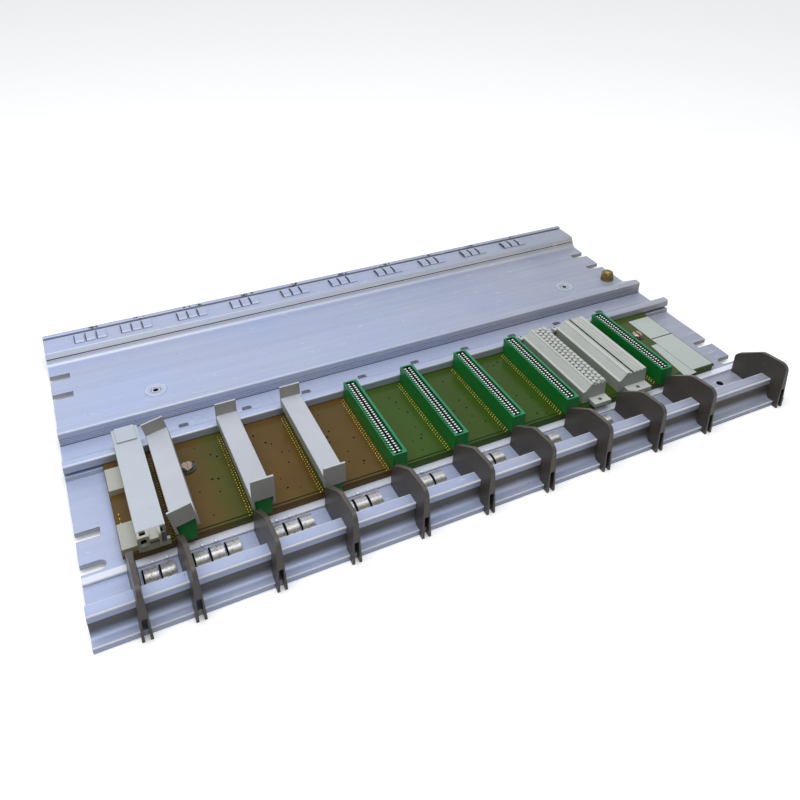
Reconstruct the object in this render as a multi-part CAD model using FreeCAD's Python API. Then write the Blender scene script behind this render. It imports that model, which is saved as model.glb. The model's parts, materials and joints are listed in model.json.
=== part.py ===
import FreeCAD, Part
import math
import os

# A 19-inch subrack card cage lying on its back: two long aluminium profiles, a bus board with
# its slot connectors, a row of plastic card guides, spring contacts, caps and fastenings.
# Millimetres. The sizes below are measured from the left end (X), from the front edge of the
# bottom flange (Y) and from the rear plane that the rack lies on (Z).

# Depth of the far profile; the bays set the length and the connectors the near depth
FAR_DEPTH = 168.5

# Sheet parts of both profiles
PLATE_TOP = 6.0
PLATE_THICKNESS = 3.5
FOOT_THICKNESS = 3.0

# Front of the near profile
FLANGE_THICKNESS = 3.6
FLANGE_DEPTH = 8.0
FLANGE_FILLET = 3.4
BAR_FRONT = 6.5
BAR_DEPTH = 8.5
BAR_TOP = 19.2
BAR_NOSE_HEIGHT = 4.4
BAR_WALL = 2.2
CHANNEL_FLOOR = 4.0
CHANNEL_SHEET = 2.5
CHANNEL_WIDTH = 27.0
STRIP_LIP = 1.2
STRIP_OVERHANG = 2.0
CHANNEL_HOLE_DIAMETER = 5.4
CHANNEL_HOLE_SETBACK = 18.5
CHANNEL_HOLE_FROM_END = 31.4

# Ridge that holds the far edge of the bus board
RIDGE_TOP = 17.8
RIDGE_TOP_WIDTH = 5.5
RIDGE_FOOT_WIDTH = 20.5
GROOVE_DEPTH = 3.6
GROOVE_HEIGHT = 2.4
RIDGE_WALL = 2.4
LIP_SETBACK = 0.6

# Middle rib
RIB_SETBACK = 38.0
RIB_TOP = 16.3
RIB_TOP_WIDTH = 5.7
RIB_FOOT_WIDTH = 22.5
RIB_WALL = 3.0
RIB_LINE_DEPTH = 0.5
RIB_LINE_WIDTH = 0.7
RIB_LINE_PITCH = 1.8
RIB_LINE_COUNT = 3

# Far rail
RAIL_DEPTH = 29.0
RAIL_TOP = 15.3
RAIL_SHEET = 3.0
RAIL_UNDERCUT_LEVEL = 10.2
RAIL_UNDERCUT = 1.0
RAIL_BASE_RADIUS = 4.0
RAIL_LEAN = 1.0
RAIL_CROWN_SETBACK = 3.4
RAIL_EDGE_HEIGHT = 1.4
RAIL_EDGE_WIDTH = 4.0
RAIL_EDGE_GROOVE = 1.6
RAIL_EDGE_GROOVE_DEPTH = 1.8

# Mounting slots, open at both ends of the rack
SLOT_WIDTH = 7.6
SLOT_LENGTH = 14.0
NEAR_ROUND_SLOT = 53.1
NEAR_SQUARE_SLOT = 79.6
FAR_FRONT_SLOT = 96.0
FAR_REAR_SLOT = 121.0

# Card bays
GUIDE_COUNT = 11
NARROW_GUIDE_X = 23.0
NARROW_BAY = 27.5
GUIDE_PITCH = 44.0
WIDE_BAY = 68.5
NORMAL_GUIDES = 9
END_MARGIN = 6.0

# Card guides
GUIDE_THICKNESS = 6.0
GUIDE_CREST = 2.4
GUIDE_TOP = 36.8
GUIDE_BACK_HEIGHT = 20.0
GUIDE_KNEE_HEIGHT = 34.6
GUIDE_KNEE_SETBACK = 23.0
GUIDE_FRONT_OVERHANG = 4.0
GUIDE_LEG_WALL = 1.6
GUIDE_CLEARANCE = 0.2
GUIDE_FOOT_CHAMFER = 0.8
GUIDE_LEG_HOLLOW = 16.0
GUIDE_NOSE_RADIUS = 5.0
GUIDE_BACK_RADIUS = 6.0

# Bus board
BOARD_TOP = 11.5
BOARD_THICKNESS = 1.6
BOARD_LEFT = 22.5
BOARD_RIGHT_MARGIN = 26.0
BOARD_SETBACK = 5.0
BOARD_EDGE_CLEARANCE = 0.3
BOARD_SCREW_DIAMETER = 5.0
BOARD_SCREW_HEAD = 8.0
BOARD_SCREW_HEAD_HEIGHT = 2.6
BOARD_WASHER_DIAMETER = 11.0
BOARD_WASHER_THICKNESS = 0.8
BOARD_POST_ACROSS_FLATS = 9.0
BOARD_SCREW_SETBACK = 57.0
BOARD_SCREW_LEFT_INSET = 47.3
BOARD_SCREW_RIGHT_INSET = 29.2

# Card-edge connectors
CONNECTOR_WIDTH = 9.8
CONNECTOR_OVERHANG = 3.0
CONNECTOR_LENGTH = 86.0
CONNECTOR_HEIGHT = 13.5
CONNECTOR_OFFSET = 3.0
CONNECTOR_RIDGE_GAP = 0.5
CAVITY_INSET = 1.7
CAVITY_WIDTH = 5.1
CAVITY_DEPTH = 6.0
CONTACT_COUNT = 32
CONTACT_PITCH = 2.54
SLIT_WIDTH = 1.2
SLIT_DEPTH = 1.3

# Multi-row connectors
MULTI_STEP = 6.5
MULTI_CORE_WIDTHS = (13.0, 18.0)
MULTI_OFFSETS = (-23.0, 8.5)
MULTI_OVERHANG = 4.7
MULTI_RIDGE_GAP = 0.2
MULTI_BODY_HEIGHT = 9.5
MULTI_CORE_HEIGHT = 14.5
MULTI_EAR_LENGTH = 8.0
MULTI_EAR_HEIGHT = 3.0
MULTI_EAR_HOLE = 3.0
MULTI_GROOVE_PITCH = 3.2
MULTI_GROOVE_DEPTH = 1.3

# Caps over three of the card-edge connectors
CAP_WALL = 1.4
CAP_CLEARANCE = 0.2
CAP_SIDE_CLEARANCE = 0.6
CAP_TAB_WIDTH = 12.6
CAP_TAB_RISE = 9.0
CAP_FLAP_LENGTHS = (11.5, 14.5, 14.5)
CAP_FLAP_DROPS = (1.0, 1.0, 8.0)
CAP_LEANS = (12.0, 0.0, 0.0)
CAP_SHIFTS = (0.7, 0.0, 0.0)
CAP_SKIRT = 5.5

# Cover over the narrow bay
COVER_WIDTH = 16.0
COVER_RIDGE_REACH = 16.3
COVER_SETBACK = 1.3
COVER_HEIGHT = 13.5
COVER_WALL = 1.8
COVER_OFFSET = 8.3
COVER_CLIP_WIDTH = 6.5
COVER_CLIP_LENGTH = 21.0
COVER_CLIP_SPACING = 51.0
COVER_CLIP_HEIGHT = 4.0
COVER_ARCH_REACH = 5.5
COVER_ARCH_SPAN = 6.4
COVER_ARCH_DROP = 10.0
COVER_RIB_WIDTH = 1.5
COVER_LEDGE_SLOPE = 3.0
COVER_PAD_WIDTH = 12.0
COVER_PAD_LENGTH = 15.0
COVER_PAD_HEIGHT = 1.0

# Spring contacts
SPRING_WIDTH = 7.5
SPRING_PITCH = 9.2
SPRING_THICKNESS = 0.5
SPRING_RISE = 2.6
SPRING_FOOT_SHARE = 0.12
SPRING_CROWN_SHARE = 0.3
NEAR_SPRING_OFFSET = 2.2
NEAR_SPRING_SETBACK = 4.0
NEAR_SPRING_LENGTH = 21.0
FAR_SPRING_OFFSET = 3.5
FAR_SPRING_SETBACK = 7.5
FAR_SPRING_LENGTH = 12.5
FAR_SPRING_PITCH = 8.2
FAR_SPRING_WIDTH = 6.4
FAR_SPRING_RISE = 1.6

# Small features in the profiles
WINDOW_WIDTH = 6.8
WINDOW_DEPTH = 4.0
WINDOW_SETBACK = 25.5
WINDOW_OFFSET = 17.8

# Holes and ground stud on the wide panel
PANEL_HOLE_SETBACK = 75.0
PANEL_HOLE_FROM_LEFT = 68.0
PANEL_HOLE_FROM_RIGHT = 55.0
PANEL_HOLE_DIAMETER = 4.0
STUD_FROM_END = 10.6
STUD_SETBACK = 70.5
STUD_DIAMETER = 6.0
STUD_HEIGHT = 14.0
NUT_ACROSS_FLATS = 10.0
NUT_HEIGHT = 5.0
STUD_WASHER_DIAMETER = 12.0
STUD_WASHER_THICKNESS = 2.0

# Bare plates at the right end of the board
LABEL_THICKNESS = 0.5
LABEL_WIDTH = 20.5
LABEL_INSET = 1.0
LABEL_LENGTH = 46.5
LABEL_GAP = 1.2
UPPER_LABEL_LENGTH = 28.5

RACK_LENGTH = (
    NARROW_GUIDE_X + NARROW_BAY + (NORMAL_GUIDES - 1) * GUIDE_PITCH + WIDE_BAY + GUIDE_THICKNESS + END_MARGIN
)
PLATE_UNDERSIDE = PLATE_TOP - PLATE_THICKNESS
BAR_BACK = BAR_FRONT + BAR_DEPTH
STRIP_EDGE = BAR_BACK + CHANNEL_WIDTH
BOARD_UNDERSIDE = BOARD_TOP - BOARD_THICKNESS
BOARD_FRONT = STRIP_EDGE + BOARD_SETBACK
BOARD_RIGHT = RACK_LENGTH - BOARD_RIGHT_MARGIN
BOARD_SCREW_Y = BOARD_FRONT + BOARD_SCREW_SETBACK
CONNECTOR_FRONT = BOARD_FRONT - CONNECTOR_OVERHANG
NEAR_DEPTH = CONNECTOR_FRONT + CONNECTOR_LENGTH + CONNECTOR_RIDGE_GAP
RIDGE_FRONT = NEAR_DEPTH
TOTAL_DEPTH = NEAR_DEPTH + FAR_DEPTH
MULTI_FRONT = BOARD_FRONT - MULTI_OVERHANG
MULTI_LENGTH = RIDGE_FRONT - MULTI_RIDGE_GAP - MULTI_FRONT
COVER_FRONT = BOARD_FRONT + COVER_SETBACK
COVER_END = RIDGE_FRONT + COVER_RIDGE_REACH
PANEL_HOLE_Y = RIDGE_FRONT + PANEL_HOLE_SETBACK
STUD_X = RACK_LENGTH - STUD_FROM_END
STUD_Y = RIDGE_FRONT + STUD_SETBACK
CENTRE_SHIFT = FreeCAD.Vector(-RACK_LENGTH / 2, -(TOTAL_DEPTH - GUIDE_FRONT_OVERHANG) / 2, 0)


def corner(previous, point, following, radius):
    """Start, middle and end of the arc that rounds one corner of an outline."""
    back = (previous - point).normalize()
    ahead = (following - point).normalize()
    half_angle = back.getAngle(ahead) / 2
    reach = radius / math.tan(half_angle)
    centre = point + (back + ahead).normalize() * (radius / math.sin(half_angle))
    middle = centre + (point - centre).normalize() * radius
    return point + back * reach, middle, point + ahead * reach


def outline(points, place):
    """Closed wire through (a, b) or (a, b, radius) points; place turns (a, b) into a vector."""
    vectors = [place(item[0], item[1]) for item in points]
    edges = []
    starts = []
    ends = []
    for index, item in enumerate(points):
        here = vectors[index]
        if len(item) == 3:
            following = vectors[(index + 1) % len(points)]
            first, middle, last = corner(vectors[index - 1], here, following, item[2])
            starts.append(first)
            ends.append(last)
            edges.append((index, Part.Arc(first, middle, last).toShape()))
        else:
            starts.append(here)
            ends.append(here)
    ordered = []
    arcs = dict(edges)
    for index in range(len(points)):
        if index in arcs:
            ordered.append(arcs[index])
        following = (index + 1) % len(points)
        if ends[index].distanceToPoint(starts[following]) > 1e-6:
            ordered.append(Part.makeLine(ends[index], starts[following]))
    return Part.Wire(ordered)


def extrude_along_x(points, x_start, length):
    """Solid whose (y, z) section runs along X."""
    wire = outline(points, lambda y, z: FreeCAD.Vector(x_start, y, z))
    return Part.Face(wire).extrude(FreeCAD.Vector(length, 0, 0))


def extrude_along_y(points, y_start, length):
    """Solid whose (x, z) section runs along Y."""
    wire = outline(points, lambda x, z: FreeCAD.Vector(x, y_start, z))
    return Part.Face(wire).extrude(FreeCAD.Vector(0, length, 0))


def extrude_up(points, z_start, height):
    """Solid whose (x, y) plan rises along Z."""
    wire = outline(points, lambda x, y: FreeCAD.Vector(x, y, z_start))
    return Part.Face(wire).extrude(FreeCAD.Vector(0, 0, height))


def block(x, y, z, width, depth, height):
    return Part.makeBox(width, depth, height, FreeCAD.Vector(x, y, z))


def disc(x, y, z, diameter, height):
    return Part.makeCylinder(diameter / 2, height, FreeCAD.Vector(x, y, z))


def save(name, solids):
    """Write one node, moved so that the part stands centred on its rear plane."""
    shape = solids[0] if len(solids) == 1 else Part.makeCompound(solids)
    shape = shape.copy()
    shape.translate(CENTRE_SHIFT)
    shape.exportStep("parts/" + name + ".step")


def guide_positions():
    """Left face of each card guide: a narrow bay, equal bays, then the wide bay."""
    first_normal = NARROW_GUIDE_X + NARROW_BAY
    places = [NARROW_GUIDE_X]
    places += [first_normal + index * GUIDE_PITCH for index in range(NORMAL_GUIDES)]
    places.append(places[-1] + WIDE_BAY)
    return places[:GUIDE_COUNT]


GUIDES = guide_positions()
NORMAL_BAYS = GUIDES[1:-1]


def end_slots(y_centre, rounded):
    """Two tools that cut an open slot into both ends of a plate."""
    tools = []
    reach = SLOT_LENGTH - (SLOT_WIDTH / 2 if rounded else 0)
    for end, direction in ((0.0, 1), (RACK_LENGTH, -1)):
        inner = end + direction * reach
        low = min(end, inner)
        tool = block(low, y_centre - SLOT_WIDTH / 2, 0, reach, SLOT_WIDTH, PLATE_TOP + 1)
        if rounded:
            tool = tool.fuse(disc(inner, y_centre, 0, SLOT_WIDTH, PLATE_TOP + 1))
        tools.append(tool)
    return tools


def near_profile():
    """Near extrusion: bottom flange, hollow front bar, channel and the plate under the board."""
    lip_underside = PLATE_TOP - STRIP_LIP
    section = [
        (0, 0),
        (0, FLANGE_THICKNESS, 0.6),
        (FLANGE_DEPTH, FLANGE_THICKNESS, FLANGE_FILLET),
        (FLANGE_DEPTH, BAR_TOP - BAR_NOSE_HEIGHT),
        (BAR_FRONT, BAR_TOP - BAR_NOSE_HEIGHT),
        (BAR_FRONT, BAR_TOP, 0.8),
        (BAR_BACK, BAR_TOP, 0.5),
        (BAR_BACK, CHANNEL_FLOOR, 1.0),
        (STRIP_EDGE + STRIP_OVERHANG, CHANNEL_FLOOR),
        (STRIP_EDGE + STRIP_OVERHANG, lip_underside),
        (STRIP_EDGE, lip_underside),
        (STRIP_EDGE, PLATE_TOP, 0.5),
        (NEAR_DEPTH, PLATE_TOP),
        (NEAR_DEPTH, 0),
        (NEAR_DEPTH - FOOT_THICKNESS, 0),
        (NEAR_DEPTH - FOOT_THICKNESS, PLATE_UNDERSIDE, 1.0),
        (STRIP_EDGE + 2 * STRIP_OVERHANG + CHANNEL_SHEET, PLATE_UNDERSIDE),
        (STRIP_EDGE + 2 * STRIP_OVERHANG, CHANNEL_FLOOR - CHANNEL_SHEET),
        (BAR_BACK + 2 * FOOT_THICKNESS, CHANNEL_FLOOR - CHANNEL_SHEET),
        (BAR_BACK + FOOT_THICKNESS, 0),
    ]
    body = extrude_along_x(section, 0, RACK_LENGTH)
    hollow = block(
        0, FLANGE_DEPTH + BAR_WALL, FLANGE_THICKNESS,
        RACK_LENGTH, BAR_BACK - FLANGE_DEPTH - 2 * BAR_WALL, BAR_TOP - FLANGE_THICKNESS - BAR_WALL,
    )
    tools = [hollow]
    tools += end_slots(NEAR_ROUND_SLOT, True)
    tools += end_slots(NEAR_SQUARE_SLOT, False)
    for x in board_screw_places():
        tools.append(disc(x, BOARD_SCREW_Y, 0, BOARD_SCREW_DIAMETER, PLATE_TOP + 1))
    tools.append(disc(
        RACK_LENGTH - CHANNEL_HOLE_FROM_END, BAR_BACK + CHANNEL_HOLE_SETBACK, 0, CHANNEL_HOLE_DIAMETER, PLATE_TOP,
    ))
    return body.cut(tools)


def ridge_section(front, top, top_width, foot_width):
    """Upper outline of a rib with an upright near face and a sloping far side."""
    return [
        (front, top, 1.4),
        (front + top_width, top, 3.0),
        (front + foot_width, PLATE_TOP, 6.0),
    ]


def rib_lines(front):
    """Fine grooves along the near face of the middle rib, from the plate upwards."""
    points = []
    for index in range(RIB_LINE_COUNT):
        low = PLATE_TOP + RIB_LINE_PITCH * (index + 0.6)
        points += [
            (front, low),
            (front + RIB_LINE_DEPTH, low),
            (front + RIB_LINE_DEPTH, low + RIB_LINE_WIDTH),
            (front, low + RIB_LINE_WIDTH),
        ]
    return points


def far_profile():
    """Far extrusion: grooved ridge, ledge, ribbed wide panel and the raised far rail."""
    groove_base = BOARD_UNDERSIDE - BOARD_EDGE_CLEARANCE
    groove_back = RIDGE_FRONT + GROOVE_DEPTH
    rib_front = RIDGE_FRONT + RIB_SETBACK
    rail_front = TOTAL_DEPTH - RAIL_DEPTH
    rail_inside = RAIL_TOP - RAIL_SHEET
    lean = rail_front + RAIL_LEAN
    crown = rail_front + RAIL_CROWN_SETBACK
    edge_front = TOTAL_DEPTH - RAIL_EDGE_WIDTH
    hollow_front = groove_back + RIDGE_WALL
    section = [
        (RIDGE_FRONT, 0),
        (RIDGE_FRONT, groove_base),
        (groove_back, groove_base),
        (groove_back, groove_base + GROOVE_HEIGHT),
        (RIDGE_FRONT + LIP_SETBACK, groove_base + GROOVE_HEIGHT),
    ]
    section += ridge_section(RIDGE_FRONT + LIP_SETBACK, RIDGE_TOP, RIDGE_TOP_WIDTH, RIDGE_FOOT_WIDTH)
    section.append((rib_front, PLATE_TOP))
    section += rib_lines(rib_front)
    section += ridge_section(rib_front, RIB_TOP, RIB_TOP_WIDTH, RIB_FOOT_WIDTH)
    section += [
        (rail_front, PLATE_TOP, RAIL_BASE_RADIUS),
        (lean, RAIL_UNDERCUT_LEVEL),
        (lean + RAIL_UNDERCUT, RAIL_UNDERCUT_LEVEL),
        (lean + RAIL_UNDERCUT, RAIL_UNDERCUT_LEVEL + RAIL_UNDERCUT),
        (lean + RAIL_UNDERCUT / 2, RAIL_UNDERCUT_LEVEL + RAIL_UNDERCUT),
        (crown, RAIL_TOP, 1.2),
        (edge_front - RAIL_EDGE_GROOVE, RAIL_TOP),
        (edge_front - RAIL_EDGE_GROOVE, RAIL_TOP - RAIL_EDGE_GROOVE_DEPTH),
        (edge_front, RAIL_TOP - RAIL_EDGE_GROOVE_DEPTH),
        (edge_front, RAIL_TOP + RAIL_EDGE_HEIGHT, 0.6),
        (TOTAL_DEPTH, RAIL_TOP + RAIL_EDGE_HEIGHT, 0.8),
        (TOTAL_DEPTH, 0),
        (TOTAL_DEPTH - FOOT_THICKNESS, 0),
        (TOTAL_DEPTH - FOOT_THICKNESS, rail_inside, 1.5),
        (crown + RAIL_SHEET, rail_inside, 1.5),
        (lean + RAIL_SHEET, PLATE_UNDERSIDE),
        (rib_front + RIB_FOOT_WIDTH - RIB_WALL / 2, PLATE_UNDERSIDE),
        (rib_front + RIB_TOP_WIDTH, RIB_TOP - RIB_WALL, 0.8),
        (rib_front + RIB_WALL, RIB_TOP - RIB_WALL, 0.8),
        (rib_front + RIB_WALL, PLATE_UNDERSIDE),
        (RIDGE_FRONT + RIDGE_FOOT_WIDTH - RIDGE_WALL, PLATE_UNDERSIDE),
        (hollow_front + 0.8, RIDGE_TOP - RIDGE_WALL - 1.8),
        (hollow_front, RIDGE_TOP - RIDGE_WALL - 1.8),
        (hollow_front, PLATE_UNDERSIDE),
        (RIDGE_FRONT + FOOT_THICKNESS, PLATE_UNDERSIDE),
        (RIDGE_FRONT + FOOT_THICKNESS, 0),
    ]
    body = extrude_along_x(section, 0, RACK_LENGTH)
    tools = []
    tools += end_slots(RIDGE_FRONT + FAR_FRONT_SLOT, False)
    tools += end_slots(RIDGE_FRONT + FAR_REAR_SLOT, False)
    for left in NORMAL_BAYS:
        tools.append(window(left + GUIDE_THICKNESS + WINDOW_OFFSET))
    for x in (PANEL_HOLE_FROM_LEFT, RACK_LENGTH - PANEL_HOLE_FROM_RIGHT):
        tools.append(disc(x, PANEL_HOLE_Y, 0, PANEL_HOLE_DIAMETER, PLATE_TOP + 1))
    tools.append(disc(STUD_X, STUD_Y, 0, STUD_DIAMETER, PLATE_TOP + 1))
    return body.cut(tools)


def window(x):
    """Tool for one small window in the ledge, with its two far corners rounded."""
    y = RIDGE_FRONT + WINDOW_SETBACK - WINDOW_DEPTH / 2
    plan = [
        (x, y),
        (x + WINDOW_WIDTH, y),
        (x + WINDOW_WIDTH, y + WINDOW_DEPTH, 1.5),
        (x, y + WINDOW_DEPTH, 1.5),
    ]
    return extrude_up(plan, PLATE_UNDERSIDE - 1, PLATE_THICKNESS + 2)


def card_guide(left):
    """Plastic divider, thinner towards its crest, notched over the front bar and forked at its leg."""
    front = -GUIDE_FRONT_OVERHANG
    foot = CHANNEL_FLOOR + GUIDE_CLEARANCE
    back = STRIP_EDGE - GUIDE_CLEARANCE
    side = [
        (back, foot),
        (back, GUIDE_BACK_HEIGHT, GUIDE_BACK_RADIUS),
        (back - GUIDE_KNEE_SETBACK, GUIDE_KNEE_HEIGHT, 2 * GUIDE_BACK_RADIUS),
        (front, GUIDE_TOP, GUIDE_NOSE_RADIUS),
        (front, 0.0),
        (-GUIDE_CLEARANCE, 0.0),
        (-GUIDE_CLEARANCE, FLANGE_THICKNESS + GUIDE_CLEARANCE),
        (FLANGE_DEPTH - FLANGE_FILLET, FLANGE_THICKNESS + GUIDE_CLEARANCE),
        (BAR_FRONT - GUIDE_CLEARANCE, FLANGE_THICKNESS + FLANGE_FILLET),
        (BAR_FRONT - GUIDE_CLEARANCE, BAR_TOP + GUIDE_CLEARANCE),
        (BAR_BACK + GUIDE_CLEARANCE, BAR_TOP + GUIDE_CLEARANCE),
        (BAR_BACK + GUIDE_CLEARANCE, foot + GUIDE_FOOT_CHAMFER),
        (BAR_BACK + GUIDE_CLEARANCE + GUIDE_FOOT_CHAMFER, foot),
    ]
    body = extrude_along_x(side, left, GUIDE_THICKNESS)
    hollow = block(
        left + GUIDE_LEG_WALL, front - 1, -1,
        GUIDE_THICKNESS - 2 * GUIDE_LEG_WALL, FLANGE_DEPTH + GUIDE_FRONT_OVERHANG, GUIDE_LEG_HOLLOW + 1,
    )
    slope = (GUIDE_THICKNESS - GUIDE_CREST) / 2
    tapers = []
    for face, inward in ((left, 1), (left + GUIDE_THICKNESS, -1)):
        wedge = [(face, 0.0), (face + inward * slope, GUIDE_TOP), (face, GUIDE_TOP)]
        tapers.append(extrude_along_y(wedge, front, back - front))
    return body.cut([hollow] + tapers)


def spring(x, y, z, width, length, rise):
    """Pressed strip with flat feet, two ramps and a flat crown."""
    foot = length * SPRING_FOOT_SHARE
    crown = length * SPRING_CROWN_SHARE / 2
    middle = y + length / 2
    lower = [
        (y, z),
        (y + foot, z),
        (middle - crown, z + rise),
        (middle + crown, z + rise),
        (y + length - foot, z),
        (y + length, z),
    ]
    upper = [(run, level + SPRING_THICKNESS) for run, level in reversed(lower)]
    return extrude_along_x(lower + upper, x, width)


def near_spring_places():
    """Left edge of each spring to the right of a guide; the narrow bay has room for two."""
    groups = []
    for left in GUIDES[:-2]:
        start = left + GUIDE_THICKNESS + NEAR_SPRING_OFFSET
        count = 2 if left == GUIDES[0] else 3
        groups.append([start + index * SPRING_PITCH for index in range(count)])
    return groups


def far_spring_places():
    """Left edge of each spring in the far rail, one group for each bay."""
    groups = []
    for left in GUIDES[:-1]:
        offset = -FAR_SPRING_OFFSET if left == GUIDES[0] else FAR_SPRING_OFFSET
        start = left + GUIDE_THICKNESS / 2 + offset
        groups.append([start + index * FAR_SPRING_PITCH for index in range(3)])
    return groups


def near_springs(group):
    start = BAR_BACK + NEAR_SPRING_SETBACK
    return [
        spring(x, start, CHANNEL_FLOOR, SPRING_WIDTH, NEAR_SPRING_LENGTH, SPRING_RISE)
        for x in group
    ]


def far_springs(group):
    start = TOTAL_DEPTH - FAR_SPRING_SETBACK - FAR_SPRING_LENGTH
    return [
        spring(x, start, RAIL_TOP, FAR_SPRING_WIDTH, FAR_SPRING_LENGTH, FAR_SPRING_RISE)
        for x in group
    ]


def board_screw_places():
    return [BOARD_LEFT + BOARD_SCREW_LEFT_INSET, BOARD_RIGHT - BOARD_SCREW_RIGHT_INSET]


def bus_board():
    """Printed board on posts, its far edge in the groove of the ridge."""
    far_edge = RIDGE_FRONT + GROOVE_DEPTH - BOARD_EDGE_CLEARANCE
    board = block(
        BOARD_LEFT, BOARD_FRONT, BOARD_UNDERSIDE,
        BOARD_RIGHT - BOARD_LEFT, far_edge - BOARD_FRONT, BOARD_THICKNESS,
    )
    holes = [
        disc(x, BOARD_SCREW_Y, BOARD_UNDERSIDE, BOARD_SCREW_DIAMETER, BOARD_THICKNESS)
        for x in board_screw_places()
    ]
    return board.cut(holes)


def hexagon(x, y, across_flats):
    """Corners of a hexagon with two of them on its X axis."""
    radius = across_flats / math.sqrt(3)
    turns = [math.radians(60 * index) for index in range(6)]
    return [(x + radius * math.cos(turn), y + radius * math.sin(turn)) for turn in turns]


def board_post(x):
    height = BOARD_UNDERSIDE - PLATE_TOP
    post = extrude_up(hexagon(x, BOARD_SCREW_Y, BOARD_POST_ACROSS_FLATS), PLATE_TOP, height)
    return post.cut(disc(x, BOARD_SCREW_Y, PLATE_TOP, BOARD_SCREW_DIAMETER, height))


def board_washer(x):
    washer = disc(x, BOARD_SCREW_Y, BOARD_TOP, BOARD_WASHER_DIAMETER, BOARD_WASHER_THICKNESS)
    return washer.cut(disc(x, BOARD_SCREW_Y, BOARD_TOP, BOARD_SCREW_DIAMETER, BOARD_WASHER_THICKNESS))


def board_screw(x):
    """Slotted pan-head screw through washer, board, post and plate."""
    seat = BOARD_TOP + BOARD_WASHER_THICKNESS
    head = disc(x, BOARD_SCREW_Y, seat, BOARD_SCREW_HEAD, BOARD_SCREW_HEAD_HEIGHT)
    rim = [edge for edge in head.Edges if edge.BoundBox.ZMin > seat + 0.1 and edge.BoundBox.ZLength < 0.1]
    head = head.makeChamfer(BOARD_SCREW_HEAD_HEIGHT * 0.3, rim)
    shank = disc(x, BOARD_SCREW_Y, PLATE_UNDERSIDE, BOARD_SCREW_DIAMETER, seat - PLATE_UNDERSIDE)
    slot_width = BOARD_SCREW_HEAD / 6
    slot = block(
        x - slot_width / 2, BOARD_SCREW_Y - BOARD_SCREW_HEAD, seat + BOARD_SCREW_HEAD_HEIGHT / 2,
        slot_width, 2 * BOARD_SCREW_HEAD, BOARD_SCREW_HEAD_HEIGHT,
    )
    return head.fuse(shank).cut(slot)


def card_edge_places():
    """Left face of each card-edge connector: one beside each guide, but for two bays near the end."""
    filled = NORMAL_BAYS[:-2]
    places = [left + CONNECTOR_OFFSET for left in filled]
    places.append(NORMAL_BAYS[-1] - CONNECTOR_OFFSET / 2)
    return places


def multi_row_places():
    """Left face and core width of each multi-row connector, on both sides of one guide."""
    anchor = NORMAL_BAYS[-2]
    return [(anchor + offset, width) for offset, width in zip(MULTI_OFFSETS, MULTI_CORE_WIDTHS)]


def card_edge_connector(left, capped):
    """Housing with one long cavity, slit at each contact along one side; plain under a cap."""
    body = block(left, CONNECTOR_FRONT, BOARD_TOP, CONNECTOR_WIDTH, CONNECTOR_LENGTH, CONNECTOR_HEIGHT)
    row = (CONTACT_COUNT - 1) * CONTACT_PITCH
    first = CONNECTOR_FRONT + (CONNECTOR_LENGTH - row) / 2
    near = left + CAVITY_INSET
    far = near + CAVITY_WIDTH
    plan = [(near, first - CONTACT_PITCH), (far, first - CONTACT_PITCH)]
    slits = 0 if capped else CONTACT_COUNT
    for index in range(slits):
        low = first + index * CONTACT_PITCH - SLIT_WIDTH / 2
        plan += [
            (far, low),
            (far + SLIT_DEPTH, low),
            (far + SLIT_DEPTH, low + SLIT_WIDTH),
            (far, low + SLIT_WIDTH),
        ]
    plan += [(far, first + row + CONTACT_PITCH), (near, first + row + CONTACT_PITCH)]
    top = BOARD_TOP + CONNECTOR_HEIGHT
    return body.cut(extrude_up(plan, top - CAVITY_DEPTH, CAVITY_DEPTH + 1))


def multi_row_connector(left, core_width):
    """Stepped housing with V grooves along its core and a drilled ear at each end."""
    core_left = left + MULTI_STEP
    core_right = core_left + core_width
    core_top = BOARD_TOP + MULTI_CORE_HEIGHT
    body_top = BOARD_TOP + MULTI_BODY_HEIGHT
    section = [
        (left, BOARD_TOP),
        (left, body_top, 0.8),
        (core_left, body_top),
        (core_left, core_top, 0.6),
    ]
    count = int(core_width / MULTI_GROOVE_PITCH) - 1
    first = core_left + (core_width - (count - 1) * MULTI_GROOVE_PITCH) / 2
    for index in range(count):
        groove = first + index * MULTI_GROOVE_PITCH
        section += [
            (groove - MULTI_GROOVE_DEPTH, core_top),
            (groove, core_top - MULTI_GROOVE_DEPTH),
            (groove + MULTI_GROOVE_DEPTH, core_top),
        ]
    section += [
        (core_right, core_top, 0.6),
        (core_right, BOARD_TOP),
    ]
    front = MULTI_FRONT + MULTI_EAR_LENGTH
    length = MULTI_LENGTH - 2 * MULTI_EAR_LENGTH
    body = extrude_along_y(section, front, length)
    ear_left = core_left - 1.0
    ear_width = core_right - ear_left
    holes = []
    for ear_front in (MULTI_FRONT, front + length):
        ear = block(ear_left, ear_front, BOARD_TOP, ear_width, MULTI_EAR_LENGTH, MULTI_EAR_HEIGHT)
        body = body.fuse(ear)
        holes.append(disc(
            ear_left + ear_width / 2, ear_front + MULTI_EAR_LENGTH / 2, BOARD_TOP,
            MULTI_EAR_HOLE, MULTI_EAR_HEIGHT + 1,
        ))
    return body.removeSplitter().cut(holes)


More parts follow.
